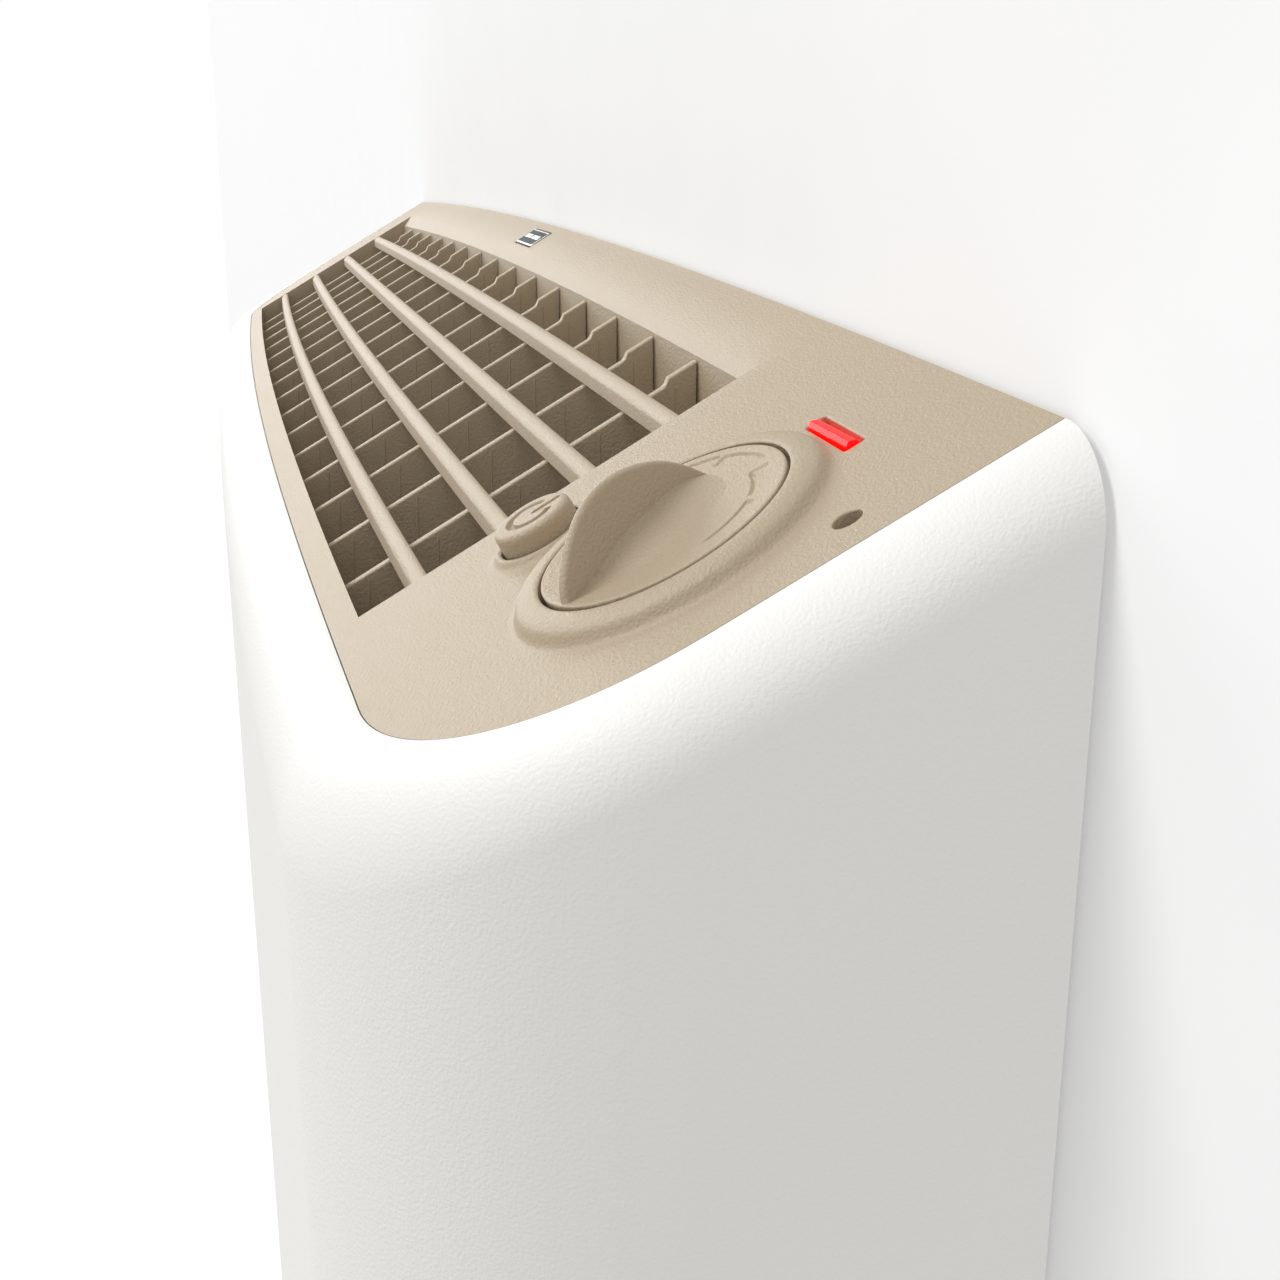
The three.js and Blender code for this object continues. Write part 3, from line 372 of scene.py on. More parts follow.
knob_collar = [(r * mm, h * mm) for r, h in (
    (20.2, 2.55), (20.32, 2.68), (20.5, 2.76), (20.9, 2.78), (21.6, 2.74), (22.4, 2.6), (23.2, 2.36),
    (23.8, 2.12), (24.15, 1.9), (24.45, 1.6), (24.7, 1.25), (24.95, 0.88), (25.2, 0.55), (25.5, 0.28),
    (25.85, 0.12), (26.3, 0.04), (27.0, 0.0),
)]
button_collar = [(r * mm, h * mm) for r, h in (
    (7.2, 0.95), (7.4, 1.12), (7.7, 1.2), (8.05, 1.16), (8.3, 1.0), (8.6, 0.68), (8.9, 0.4),
    (9.3, 0.2), (9.8, 0.08), (10.6, 0.0),
)]


def face_rise(x, place):
    """Rise of the two moulded collars over the face, blended where they meet."""
    knob = profile_height(knob_collar, math.hypot(x - knob_x, place - knob_place))
    button = profile_height(button_collar, math.hypot(x - button_x, place - button_place))
    return (knob ** 3 + button ** 3) ** (1 / 3)


def circle_loop(x, place, radius, count):
    return [
        Vector((x + radius * math.cos(i / count * math.tau), place + radius * math.sin(i / count * math.tau)))
        for i in range(count)
    ]


def rectangle_loop(x, place, length, width, corner, count=4):
    """A rectangle with rounded corners."""
    loop = []
    for sx, sy, start in ((1, 1, 0), (-1, 1, 90), (-1, -1, 180), (1, -1, 270)):
        for i in range(count + 1):
            angle = math.radians(start + 90 * i / count)
            loop.append(Vector((
                x + sx * (length / 2 - corner) + corner * math.cos(angle),
                place + sy * (width / 2 - corner) + corner * math.sin(angle),
            )))
    return loop


def opening_front(x):
    return opening_front_middle + opening_bow * (x / (270 * mm)) ** 2


def opening_loop(inset, wall_place):
    """The air opening: near wall, front edge, far wall and wall side, in that order."""
    near, far = opening_near - inset, opening_far + inset
    steps = 40
    loop = [Vector((near, wall_place + inset))]
    for i in range(steps + 1):
        x = near + (far - near) * i / steps
        loop.append(Vector((x, slope_place(opening_front(x)) - inset)))
    for i in range(steps):
        loop.append(Vector((far + (near - far) * i / steps, wall_place + inset)))
    return loop


def skin(loops, fill, rise_at):
    """Points and faces of a sheet between loops; the first loop is its outer edge."""
    points, edges = [], []
    for loop in loops:
        start = len(points)
        points.extend(loop)
        edges.extend((start + i, start + (i + 1) % len(loop)) for i in range(len(loop)))
    points.extend(fill)
    placed, _, faces, original, _, _ = delaunay_2d_cdt(
        [tuple(1000 * c for c in p) for p in points], edges, [], 0, 1e-6,
    )
    placed = [Vector(p) / 1000 for p in placed]
    holes = loops[1:]
    kept = []
    for face in faces:
        middle = sum((placed[i] for i in face), Vector((0, 0))) / len(face)
        if inside(middle, loops[0]) and not any(inside(middle, hole) for hole in holes):
            kept.append(tuple(face))
    solid = [on_face(p.x, p.y, rise_at(p.x, p.y)) for p in placed]
    return solid, kept


def inside(point, loop):
    """True if the point lies within the closed loop."""
    found = False
    for a, b in zip(loop, loop[1:] + loop[:1]):
        if (a.y > point.y) != (b.y > point.y):
            if point.x < (b.x - a.x) * (point.y - a.y) / (b.y - a.y) + a.x:
                found = not found
    return found


def wall(rows, points, faces):
    """Adds a strip between rows of points that each close on themselves."""
    start = len(points)
    size = len(rows[0])
    for row in rows:
        points.extend(row)
    for i in range(len(rows) - 1):
        for j in range(size):
            a, b = start + i * size + j, start + i * size + (j + 1) % size
            faces.append((a, b, b + size, a + size))


def lift(loop, depth, rise_at=None):
    """A loop at a rise over the face, or at the face's own rise plus a fixed amount."""
    return [on_face(p.x, p.y, depth + (rise_at(p.x, p.y) if rise_at else 0.0)) for p in loop]


# Moulded beige ABS. The same leather grain, a little deeper, catches the light as fine sparkle.
beige_abs = grained_abs(
    "moulded beige ABS", ("#B2A187", "#B7A68D"), 45 * mm, 2.0, 0.55, 0.2 * mm, (0.42, 0.56),
)

stations = panel_outline(5, 26, 18)
outline = [Vector((p.x, slope_place(p.y))) for p, _ in stations]
outline += [Vector((half_width * (2 * i / 40 - 1), 0)) for i in range(1, 40)]
opening = opening_loop(0, bevel_place)
knob_loop = circle_loop(knob_x, knob_place, knob_mouth, 120)
button_loop = circle_loop(button_x, button_place, button_hole, 56)
lens_slot = (lens_length + 2 * fit_gap, lens_width + 2 * fit_gap)


def lens_slot_loop(growth):
    return rectangle_loop(
        lens_x, lens_place, lens_slot[0] + 2 * growth, lens_slot[1] + 2 * growth, 0.5 * mm + growth,
    )


def pinhole_ring(growth):
    return circle_loop(pinhole_x, pinhole_place, pinhole_radius + growth, 36)


lens_loop = lens_slot_loop(edge_radius)
pinhole_loop = pinhole_ring(edge_radius)
badge_loop = rectangle_loop(
    0, badge_place, badge_width + badge_clearance, badge_depth + badge_clearance, 0.6 * mm,
)
face_loops = [outline, opening, knob_loop, button_loop, lens_loop, pinhole_loop, badge_loop]

collar_fill = []
for radius, _ in knob_collar[1:]:
    collar_fill += circle_loop(knob_x, knob_place, radius, 120)
for radius, _ in button_collar[1:]:
    collar_fill += circle_loop(button_x, button_place, radius, 56)
face_fill = [
    p for p in collar_fill
    if inside(p, outline) and not inside(p, opening)
    and math.hypot(p.x - knob_x, p.y - knob_place) > knob_mouth + 0.1 * mm
    and math.hypot(p.x - button_x, p.y - button_place) > button_hole + 0.1 * mm
]
# A loose grid of points carries the crown across the plain parts of the face.
grid = 9 * mm
knob_clear, button_clear, edge_clear = 31 * mm, 12 * mm, 4 * mm
for i in range(-37, 38):
    for j in range(0, 12):
        p = Vector((i * grid, (j + 0.5) * grid))
        clear_of_collars = (
            math.hypot(p.x - knob_x, p.y - knob_place) > knob_clear
            and math.hypot(p.x - button_x, p.y - button_place) > button_clear
        )
        near_edge = any((p - q).length < edge_clear for loop in face_loops for q in loop)
        if clear_of_collars and not near_edge and inside(p, outline) and not inside(p, opening):
            face_fill.append(p)

panel_points, panel_faces = skin(face_loops, face_fill, face_rise)


def add_part(points, faces):
    start = len(panel_points)
    panel_points.extend(points)
    panel_faces.extend(tuple(i + start for i in face) for face in faces)


under_loops = [
    outline, opening_loop(-skirt_thickness, slope_place(opening_back)),
    circle_loop(knob_x, knob_place, spindle_hole, 40),
    button_loop, lens_slot_loop(0), pinhole_ring(0),
]
add_part(*skin(under_loops, [], lambda x, place: -panel_thickness))
wall([lift(outline, 0), lift(outline, -panel_thickness)], panel_points, panel_faces)
wall([lift(button_loop, 0, face_rise), lift(button_loop, -panel_thickness)], panel_points, panel_faces)
for ring_at in (lens_slot_loop, pinhole_ring):
    rows = []
    for i in range(5):
        angle = i / 4 * math.pi / 2
        edge_drop = edge_radius * (math.cos(angle) - 1)
        rows.append(lift(ring_at(edge_radius * (1 - math.sin(angle))), edge_drop, face_rise))
    rows.append(lift(ring_at(0), -panel_thickness))
    wall(rows, panel_points, panel_faces)
spindle_loop = circle_loop(knob_x, knob_place, spindle_hole, 40)
wall([lift(spindle_loop, 0), lift(spindle_loop, -panel_thickness)], panel_points, panel_faces)
wall([lift(knob_loop, 0, face_rise), lift(knob_loop, 0)], panel_points, panel_faces)
add_part(*skin([knob_loop, spindle_loop], [], lambda x, place: 0.0))
wall([lift(badge_loop, 0), lift(badge_loop, -badge_pocket)], panel_points, panel_faces)
add_part(*skin([badge_loop], [], lambda x, place: -badge_pocket))

outer_skirt = opening_loop(-skirt_thickness, slope_place(opening_back))
inner_skirt = opening_loop(0, slope_place(opening_back))


def dropped(loop, drop):
    """A loop in plan straight below the face."""
    return [Vector((p.x, slope_y(p.y), face_height(p.x, slope_y(p.y)) - drop)) for p in loop]


wall([
    lift(opening, 0), dropped(inner_skirt, bevel_fall), dropped(inner_skirt, skirt_depth),
    dropped(outer_skirt, skirt_depth), lift(outer_skirt, -panel_thickness),
], panel_points, panel_faces)

# The skirt along the back edge closes the gap down to the steel back cover.
back_skirt_reach = 325 * mm
back_skirt_thickness = 2 * mm
back_skirt_top, back_skirt_foot = 1 * mm, 17 * mm
back_skirt_inset = 0.05 * mm
skirt_rings = []
for i in range(25):
    x = back_skirt_reach * (i / 12 - 1)
    rear, fore = -wall_gap - back_skirt_inset, -wall_gap - back_skirt_thickness
    skirt_rings.append([
        Vector((x, y, face_height(x, y) - drop))
        for y, drop in (
            (rear, back_skirt_top), (fore, back_skirt_top), (fore, back_skirt_foot), (rear, back_skirt_foot),
        )
    ])
loft(skirt_rings, panel_points, panel_faces)

bar_width = 2.8 * mm
bar_depth = 3.3 * mm
bar_bow = 0.05
bar_places = [32.1 * mm, 49.4 * mm, 67.1 * mm, 84.6 * mm]


def bar_section():
    """The bar's section as (side, rise) pairs: flat below, with a round top."""
    radius = bar_width / 2
    section = [(-radius, -bar_depth), (radius, -bar_depth)]
    for i in range(9):
        angle = math.pi * i / 8
        section.append((radius * math.cos(angle), -radius * 0.75 + radius * 0.7 * math.sin(angle)))
    return section


for bar_place in bar_places:
    rings = []
    for i in range(61):
        x = opening_far - 0.5 * mm + (opening_near - opening_far + 1.5 * mm) * i / 60
        y = slope_y(bar_place * (1 - bar_bow * (x / opening_near) ** 2))
        rings.append([Vector((x, y + side, face_height(x, y + side) + rise)) for side, rise in bar_section()])
    loft(rings, panel_points, panel_faces)

panel = make_piece("outlet_panel", panel_points, panel_faces, beige_abs)
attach(panel, "housing")
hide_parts("top_panel")


# ---------------------------------------------------------------- outlet grille
# Fifteen deep slats are moulded as one insert in the panel's beige ABS, with round top edges and a
# thin witness line down each cell. The stretch of each slat nearest the wall stands a step higher.

slat_count = 15
slat_thickness = 2.4 * mm
slat_edge_round = 0.5 * mm
slat_recess = 4.1 * mm
slat_depth = 28 * mm
slat_step_place = 22 * mm
slat_step_rise = 1.2 * mm
rail_depth = 4 * mm
witness_width = 0.5 * mm
witness_rise = 0.2 * mm

grille_points, grille_faces = [], []
slat_pitch = (opening_near - opening_far) / (slat_count + 1)
for index in range(1, slat_count + 1):
    x = opening_far + slat_pitch * index
    back = opening_back - fit_gap
    front = opening_front(x) + fit_gap
    step_y = slope_y(slat_step_place)
    tops = [(back, slat_recess - slat_step_rise), (step_y, slat_recess - slat_step_rise)]
    tops += [(step_y - 0.5 * mm, slat_recess - 0.25 * mm), (step_y - 1 * mm, slat_recess)]
    tops += [(step_y + (front - step_y) * i / 6, slat_recess) for i in range(1, 7)]
    rings = []
    for y, recess in tops:
        top = face_height(x, y) - recess
        radius = slat_thickness / 2
        bottom = face_height(x, y) - slat_depth
        ring = [Vector((x - radius, y, bottom)), Vector((x + radius, y, bottom))]
        flat = radius - slat_edge_round
        for i in range(8):
            angle = math.pi / 2 * (i if i < 4 else i - 1) / 3
            side = (flat if i < 4 else -flat) + slat_edge_round * math.cos(angle)
            ring.append(Vector((x + side, y, top - slat_edge_round * (1 - math.sin(angle)))))
        rings.append(ring)
    loft(rings, grille_points, grille_faces)
    edges = [slope_place(back)] + bar_places + [slope_place(front)]
    for start, end in zip(edges, edges[1:]):
        y = slope_y(start + (end - start) * 0.30)
        top = face_height(x, y) - slat_recess - slat_thickness / 2
        side = x + slat_thickness / 2
        ring = [(0, witness_width / 2), (witness_rise, 0), (0, -witness_width / 2), (-witness_rise, 0)]
        loft([
            [Vector((side + dx, y + dy, z)) for dx, dy in ring]
            for z in (face_height(x, y) - slat_depth + 1 * mm, top)
        ], grille_points, grille_faces)

rail_reach, rail_cover = 3.5 * mm, 1 * mm
rail_outer = opening_loop(-rail_reach, slope_place(opening_back))
rail_inner = opening_loop(rail_cover, slope_place(opening_back))
rail_top = skirt_depth + fit_gap
wall([
    dropped(rail_inner, rail_top), dropped(rail_outer, rail_top),
    dropped(rail_outer, rail_top + rail_depth), dropped(rail_inner, rail_top + rail_depth),
    dropped(rail_inner, rail_top),
], grille_points, grille_faces)

grille = make_piece("outlet_slats", grille_points, grille_faces, beige_abs)
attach(grille, "housing")
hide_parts("outlet_grille")


# ---------------------------------------------------------------- thermostat knob
# The dial is a beige ABS moulding pressed on the thermostat's spindle: a dished disc in a rounded
# rim, a half-moon grip fin, and heat marks engraved in arcs round its far half.

knob_profile = [(r * mm, h * mm) for r, h in (
    (0, 2.0), (6, 2.02), (10, 2.08), (13, 2.2), (16, 2.42), (17.2, 2.55), (18.2, 2.68), (18.9, 2.76),
    (19.3, 2.78), (19.45, 2.74), (19.54, 2.64), (19.58, 2.5), (19.6, 2.3),
)]
mark_width = 0.8 * mm
mark_depth = 0.42 * mm


def polar(radius, degrees):
    angle = math.radians(degrees)
    return Vector((radius * mm * math.cos(angle), radius * mm * math.sin(angle)))


def arc(radius, start, end):
    steps = max(2, round(abs(end - start) / 4))
    return [polar(radius, start + (end - start) * i / steps) for i in range(steps + 1)]


engraved_marks = [
    arc(17.6, 152, 131),
    [polar(15.6, 128), polar(17.4, 126)] + arc(17.4, 122, 94),
    [polar(16.8, 83), polar(14.6, 86)] + arc(14.3, 84, 55),
    [polar(15.6, 44), polar(14.4, 47)] + arc(14.4, 44, 10),
]


def mark_distance(point):
    """Distance from the nearest engraved line."""
    nearest = 1.0
    for line in engraved_marks:
        for a, b in zip(line, line[1:]):
            along = b - a
            t = min(1.0, max(0.0, (point - a).dot(along) / along.length_squared))
            nearest = min(nearest, (point - a - along * t).length)
    return nearest


knob_points, knob_faces = [], []
knob_segments = 360
knob_frame = face_frame(knob_x, knob_place)
radii = [0.4, 2, 4, 6, 8, 10, 11.5, 12.6]
radii += [12.8 + 0.16 * i for i in range(37)]
radii += [18.8, 19.0, 19.2, 19.35, 19.47, 19.55, 19.59, 19.6]
top_rows = []
for radius in radii:
    row = []
    for i in range(knob_segments):
        point = polar(radius, 360 * i / knob_segments)
        rise = profile_height(knob_profile, radius * mm)
        if 12 < radius < 18.6:
            share = min(1.0, mark_distance(point) / (mark_width / 2))
            rise -= mark_depth * (1 - share ** 3)
        row.append(knob_frame @ Vector((point.x, point.y, rise)))
    top_rows.append(row)
rim_rows = []
for radius, rise in ((19.6, 1.1), (19.0, 0.5), (5.2, 0.5), (5.2, -8.6), (3.3, -8.6), (3.3, -1.2)):
    rim_rows.append([
        knob_frame @ Vector((*polar(radius, 360 * i / knob_segments), rise * mm))
        for i in range(knob_segments)
    ])
wall(top_rows + rim_rows, knob_points, knob_faces)
knob_faces.append(tuple(range(knob_segments)))
last_row = len(knob_points) - knob_segments
knob_faces.append(tuple(last_row + i for i in range(knob_segments)))

fin_crest = [
    (0, 2.2), (0.5, 3.6), (1.2, 4.9), (2.3, 6.2), (3.6, 7.4), (5.2, 8.7), (7.2, 10.0), (9.4, 11.1),
    (12, 11.9), (14.5, 12.2), (17, 12.1), (19.5, 11.7), (22, 10.9), (24.7, 9.7), (27, 8.3), (29, 6.6),
    (30.5, 5.0), (31.6, 3.6), (32.6, 2.2),
]
fin_crease = [
    (0, 2.1), (1.4, 2.3), (5.1, 2.7), (7.6, 3.1), (10.5, 3.85), (12.7, 4.25), (14, 4.45), (16.1, 4.55),
    (18.7, 4.5), (22.7, 4.5), (24.7, 4.45), (27.2, 4.1), (29.3, 3.6), (31.2, 2.8), (32.6, 2.1),
]
scoop_floor = 2.0
scoop_rise = 2.55
scoop_reach = 11.0
fin_start = Vector((7.0, -18.0))
fin_end = Vector((-9.7, 10.1))
fin_along = (fin_end - fin_start).normalized()
fin_across = Vector((fin_along.y, -fin_along.x))
fin_half_thickness = 0.85


def eased(pairs, place):
    """A value from (place, value) pairs on a smooth curve through them."""
    for k in range(len(pairs) - 1):
        (x1, y1), (x2, y2) = pairs[k], pairs[k + 1]
        if place <= x2:
            x0, y0 = pairs[max(0, k - 1)]
            x3, y3 = pairs[min(len(pairs) - 1, k + 2)]
            slope1 = (y2 - y0) / (x2 - x0)
            slope2 = (y3 - y1) / (x3 - x1)
            t = (place - x1) / (x2 - x1)
            h = x2 - x1
            return (
                (2 * t ** 3 - 3 * t ** 2 + 1) * y1 + (t ** 3 - 2 * t ** 2 + t) * h * slope1
                + (-2 * t ** 3 + 3 * t ** 2) * y2 + (t ** 3 - t ** 2) * h * slope2
            )
    return pairs[-1][1]


# All the fin's numbers are in millimetres along, across and above the knob's own face.
fin_rings = []
fin_stations = 48
fin_length = 32.6
fin_root = 1.4
for i in range(fin_stations + 1):
    place = fin_length * (1 - math.cos(math.pi * i / fin_stations)) / 2
    crest = max(2.0, eased(fin_crest, place))
    crease = min(crest - 0.1, eased(fin_crease, place))
    reach_here = 0.3 + scoop_reach * max(0.0, (crease - scoop_floor) / scoop_rise) ** 0.5
    height = crest - 1.6
    round_off = min(fin_half_thickness, height * 0.5)
    section = [(-fin_half_thickness - 0.1, fin_root)]
    section += [(-fin_half_thickness, fin_root + height * t) for t in (0.3, 0.6)]
    for k in range(9):
        angle = math.pi * (1 - k / 8)
        section.append((fin_half_thickness * math.cos(angle), crest - round_off * (1 - math.sin(angle))))
    shoulder = max(crest - round_off, crease)
    for t in (0.35, 0.7):
        section.append((fin_half_thickness, shoulder + (crease - shoulder) * t))
    for t in (0.0, 0.06, 0.15, 0.27, 0.4, 0.55, 0.7, 0.85, 1.0):
        floor_rise = scoop_floor + (crease - scoop_floor) * (1 - t) ** 2
        section.append((fin_half_thickness + reach_here * t, floor_rise))
    section.append((fin_half_thickness + reach_here, fin_root))
    ring = []
    for side, rise in section:
        spot = fin_start + fin_along * place + fin_across * side
        ring.append(knob_frame @ Vector((spot.x * mm, spot.y * mm, rise * mm)))
    fin_rings.append(ring)
loft(fin_rings, knob_points, knob_faces)

knob = make_piece("dial_knob", knob_points, knob_faces, beige_abs, 50)
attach(knob, "knob")
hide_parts("thermostat_knob")


# ---------------------------------------------------------------- push button
# The button is a round ABS moulding in a low collar. Its top is flat with a soft edge, and a ring
# open on one side with a short bar across the gap is sunk in it.

button_profile = [(r * mm, h * mm) for r, h in (
    (0, 4.5), (5.4, 4.5), (5.8, 4.46), (6.15, 4.34), (6.42, 4.12), (6.6, 3.82), (6.68, 3.45), (6.7, 3.0),
)]
button_ring_radius = 3.6 * mm
button_mark_width = 1.25 * mm
button_mark_depth = 0.75 * mm
button_frame = face_frame(button_x, button_place)
button_segments = 200


def button_sink(point):
    """Depth of the sunk ring and bar at a point of the button's top."""
    half_gap = 34
    bar_start, bar_end = 1.0 * mm, 5.0 * mm
    angle = math.degrees(math.atan2(point.y, point.x))
    off_gap = abs((angle - 90 + 180) % 360 - 180)
    ring_distance = abs(point.length - button_ring_radius) if off_gap > half_gap else 1.0
    bar = Vector((0, min(bar_end, max(bar_start, point.y))))
    distance = min(ring_distance, (point - bar).length)
    share = min(1.0, distance / (button_mark_width / 2))
    return button_mark_depth * max(0.0, 1 - share ** 6)


button_points, button_faces = [], []
button_rows = []
button_radii = [0.1] + [0.14 * i for i in range(1, 40)]
button_radii += [5.6, 5.8, 6.0, 6.15, 6.3, 6.42, 6.52, 6.6, 6.65, 6.68, 6.7]
for radius in button_radii:
    row = []
    for i in range(button_segments):
        point = polar(radius, 360 * i / button_segments)
        rise = profile_height(button_profile, radius * mm) - button_sink(point)
        row.append(button_frame @ Vector((point.x, point.y, rise)))
    button_rows.append(row)
for radius, rise in ((6.7, -4), (8.2, -4), (8.2, -5.4), (3, -5.4), (3, -9), (0.1, -9)):
    button_rows.append([
        button_frame @ Vector((*polar(radius, 360 * i / button_segments), rise * mm))
        for i in range(button_segments)
    ])
wall(button_rows, button_points, button_faces)
button_faces.append(tuple(range(button_segments)))
last_row = len(button_points) - button_segments
button_faces.append(tuple(last_row + i for i in range(button_segments)))
button = make_piece("push_button", button_points, button_faces, beige_abs, 45)
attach(button, "button")
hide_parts("power_button")


# ---------------------------------------------------------------- indicator lens
# The lens is a bar of clear red polycarbonate pressed up through its slot and lit from behind. Its
# polished top has two facets with a ridge between them, and a flange under the panel keeps it in.

red_lens, tree, shader = new_material("red polycarbonate lens")
# Polished red polycarbonate with a lamp behind: an even, saturated red glow with faint moulded ribs.
place = add_node(tree, "ShaderNodeTexCoord").outputs["Object"]
ribs = add_node(
    tree, "ShaderNodeTexWave",
    settings={"wave_type": "BANDS", "bands_direction": "X"},
    inputs={"Scale": 1 / (24 * mm), "Distortion": 0.0},
    links={"Vector": place},
)
tone = add_node(
    tree, "ShaderNodeMix",
    settings={"data_type": "RGBA"},
    inputs={"A": linear("#D60808"), "B": linear("#E81410")},
    links={"Factor": ribs.outputs["Fac"]},
)
tree.links.new(tone.outputs["Result"], shader.inputs["Base Color"])
shader.inputs["Roughness"].default_value = 0.12
shader.inputs["IOR"].default_value = 1.585
shader.inputs["Emission Color"].default_value = linear("#FF0A08")
shader.inputs["Emission Strength"].default_value = 0.8
shader.inputs["Specular IOR Level"].default_value = 0.05
shader.inputs["Subsurface Weight"].default_value = 0.2
shader.inputs["Subsurface Radius"].default_value = (0.002, 0.0005, 0.0005)

lens_frame = face_frame(lens_x, lens_place)
lens_points, lens_faces = [], []
lens_section = [
    (0.7, -3.6), (3.3, -3.6), (3.3, -5.0), (-3.3, -5.0), (-3.3, -3.6), (-1.3, -3.6), (-1.3, 0.05),
    (-1.22, 0.22), (-0.72, 0.58), (-0.6, 0.65), (-0.48, 0.67), (-0.34, 0.65), (0.52, 0.34),
    (0.64, 0.26), (0.7, 0.12),
]
lens_rings = []
for end, shrink in ((-1, 0.0), (-1, 0.12), (-1, 0.3), (1, 0.3), (1, 0.12), (1, 0.0)):
    top_drop = 0.3 - shrink if shrink < 0.3 else 0.0
    ring = []
    for y, rise in lens_section:
        along = end * (lens_length / 2 - shrink * mm)
        ring.append(lens_frame @ Vector((along, y * mm, (rise - (top_drop if rise > 0 else 0.0)) * mm)))
    lens_rings.append(ring)
loft(lens_rings, lens_points, lens_faces)
lens = make_piece("red_lens", lens_points, lens_faces, red_lens)
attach(lens, "housing")
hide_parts("indicator_lens")


# ---------------------------------------------------------------- badge
# A small plate of bright anodised aluminium is stuck in a shallow pocket. Its middle is printed
# dark, and the border and two plain bars stay bright, with no lettering.

def brushed_plate(name, dark, light, rough_low, rough_high):
    """A plate's colour and gloss in fine lines brushed along its length."""
    material, tree, shader = new_material(name)
    place = add_node(tree, "ShaderNodeTexCoord").outputs["Object"]
    stretch = add_node(
        tree, "ShaderNodeMapping", inputs={"Scale": (1.0, 40.0, 40.0)}, links={"Vector": place},
    )
    brushing = add_node(
        tree, "ShaderNodeTexNoise",
        inputs={"Scale": 1 / (8 * mm), "Detail": 3.0},
        links={"Vector": stretch.outputs["Vector"]},
    )
    gloss = add_node(
        tree, "ShaderNodeMapRange", inputs={"To Min": rough_low, "To Max": rough_high},
        links={"Value": brushing.outputs["Fac"]},
    )
    tone = add_node(
        tree, "ShaderNodeMix", settings={"data_type": "RGBA"},
        inputs={"A": linear(dark), "B": linear(light)},
        links={"Factor": brushing.outputs["Fac"]},
    )
    tree.links.new(tone.outputs["Result"], shader.inputs["Base Color"])
    tree.links.new(gloss.outputs["Result"], shader.inputs["Roughness"])
    return material, shader


# A dark satin print over brushed metal: nearly black, and the lines show only in its gloss.
dark_badge, shader = brushed_plate("printed anodised aluminium", "#0A0A0D", "#121216", 0.25, 0.45)
shader.inputs["Specular IOR Level"].default_value = 0.05
# Bare brushed aluminium: pale, with a stretched highlight along the brushing.
bright_badge, shader = brushed_plate("bright brushed aluminium", "#D6D7D8", "#E6E6E6", 0.2, 0.38)
shader.inputs["Metallic"].default_value = 1.0

badge_frame = face_frame(0, badge_place)
badge_points, badge_faces = [], []
bright_faces = []


def badge_block(x, y, length, width, low, high, corner, bright):
    """Adds a bevelled block of the badge in its face frame, in millimetres."""
    rows = []
    for growth, rise in ((0, low), (0, high - 0.12), (-0.12, high)):
        loop = rectangle_loop(
            x * mm, y * mm, (length + 2 * growth) * mm, (width + 2 * growth) * mm, corner * mm, 3,
        )
        rows.append([badge_frame @ Vector((p.x, p.y, rise * mm)) for p in loop])
    first = len(badge_faces)
    loft(rows, badge_points, badge_faces)
    bright_faces.append((first, len(badge_faces), bright))


badge_block(0, 0, 24.4, 6.8, -0.3, 0.3, 0.6, True)
badge_block(0, 0, 23.0, 5.9, 0.2, 0.36, 0.4, False)
badge_block(-5.7, 0.2, 8.6, 1.7, 0.3, 0.46, 0.3, True)
badge_block(5.2, 0.2, 9.4, 1.7, 0.3, 0.46, 0.3, True)
badge = make_piece("maker_plate", badge_points, badge_faces, dark_badge)
badge.data.materials.append(bright_badge)
for first, last, bright in bright_faces:
    for k in range(first, last):
        badge.data.polygons[k].material_index = 1 if bright else 0
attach(badge, "housing")
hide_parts("badge_plate")


# ---------------------------------------------------------------- carried-over pieces
# The remaining nodes already have their real shape. Each slot of the record gets the finish of
# what the piece is really made of.


def dress(material, names):
    """Gives the CAD pieces whose names start so this material, with soft shading."""
    for name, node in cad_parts.items():
        if name.startswith(names):
            node.data.materials.clear()
            node.data.materials.append(material)
            node.data.shade_smooth()
            node.data.set_sharp_from_angle(angle=math.radians(32))


def mottled(name, dark, light, scale, rough_low, rough_high, metallic, bump_depth, ior=None):
    """A material whose colour, gloss and relief follow one noise of a real size."""
    material, tree, shader = new_material(name)
    place = add_node(tree, "ShaderNodeTexCoord").outputs["Object"]
    noise = add_node(
        tree, "ShaderNodeTexNoise",
        inputs={"Scale": 1 / scale, "Detail": 3.0},
        links={"Vector": place},
    )
    tone = add_node(
        tree, "ShaderNodeMix", settings={"data_type": "RGBA"},
        inputs={"A": linear(dark), "B": linear(light)},
        links={"Factor": noise.outputs["Fac"]},
    )
    gloss = add_node(
        tree, "ShaderNodeMapRange", inputs={"To Min": rough_low, "To Max": rough_high},
        links={"Value": noise.outputs["Fac"]},
    )
    bump = add_node(
        tree, "ShaderNodeBump", inputs={"Strength": 0.5, "Distance": bump_depth},
        links={"Height": noise.outputs["Fac"]},
    )
    tree.links.new(tone.outputs["Result"], shader.inputs["Base Color"])
    tree.links.new(gloss.outputs["Result"], shader.inputs["Roughness"])
    tree.links.new(bump.outputs["Normal"], shader.inputs["Normal"])
    shader.inputs["Metallic"].default_value = metallic
    if ior:
        shader.inputs["IOR"].default_value = ior
    return material


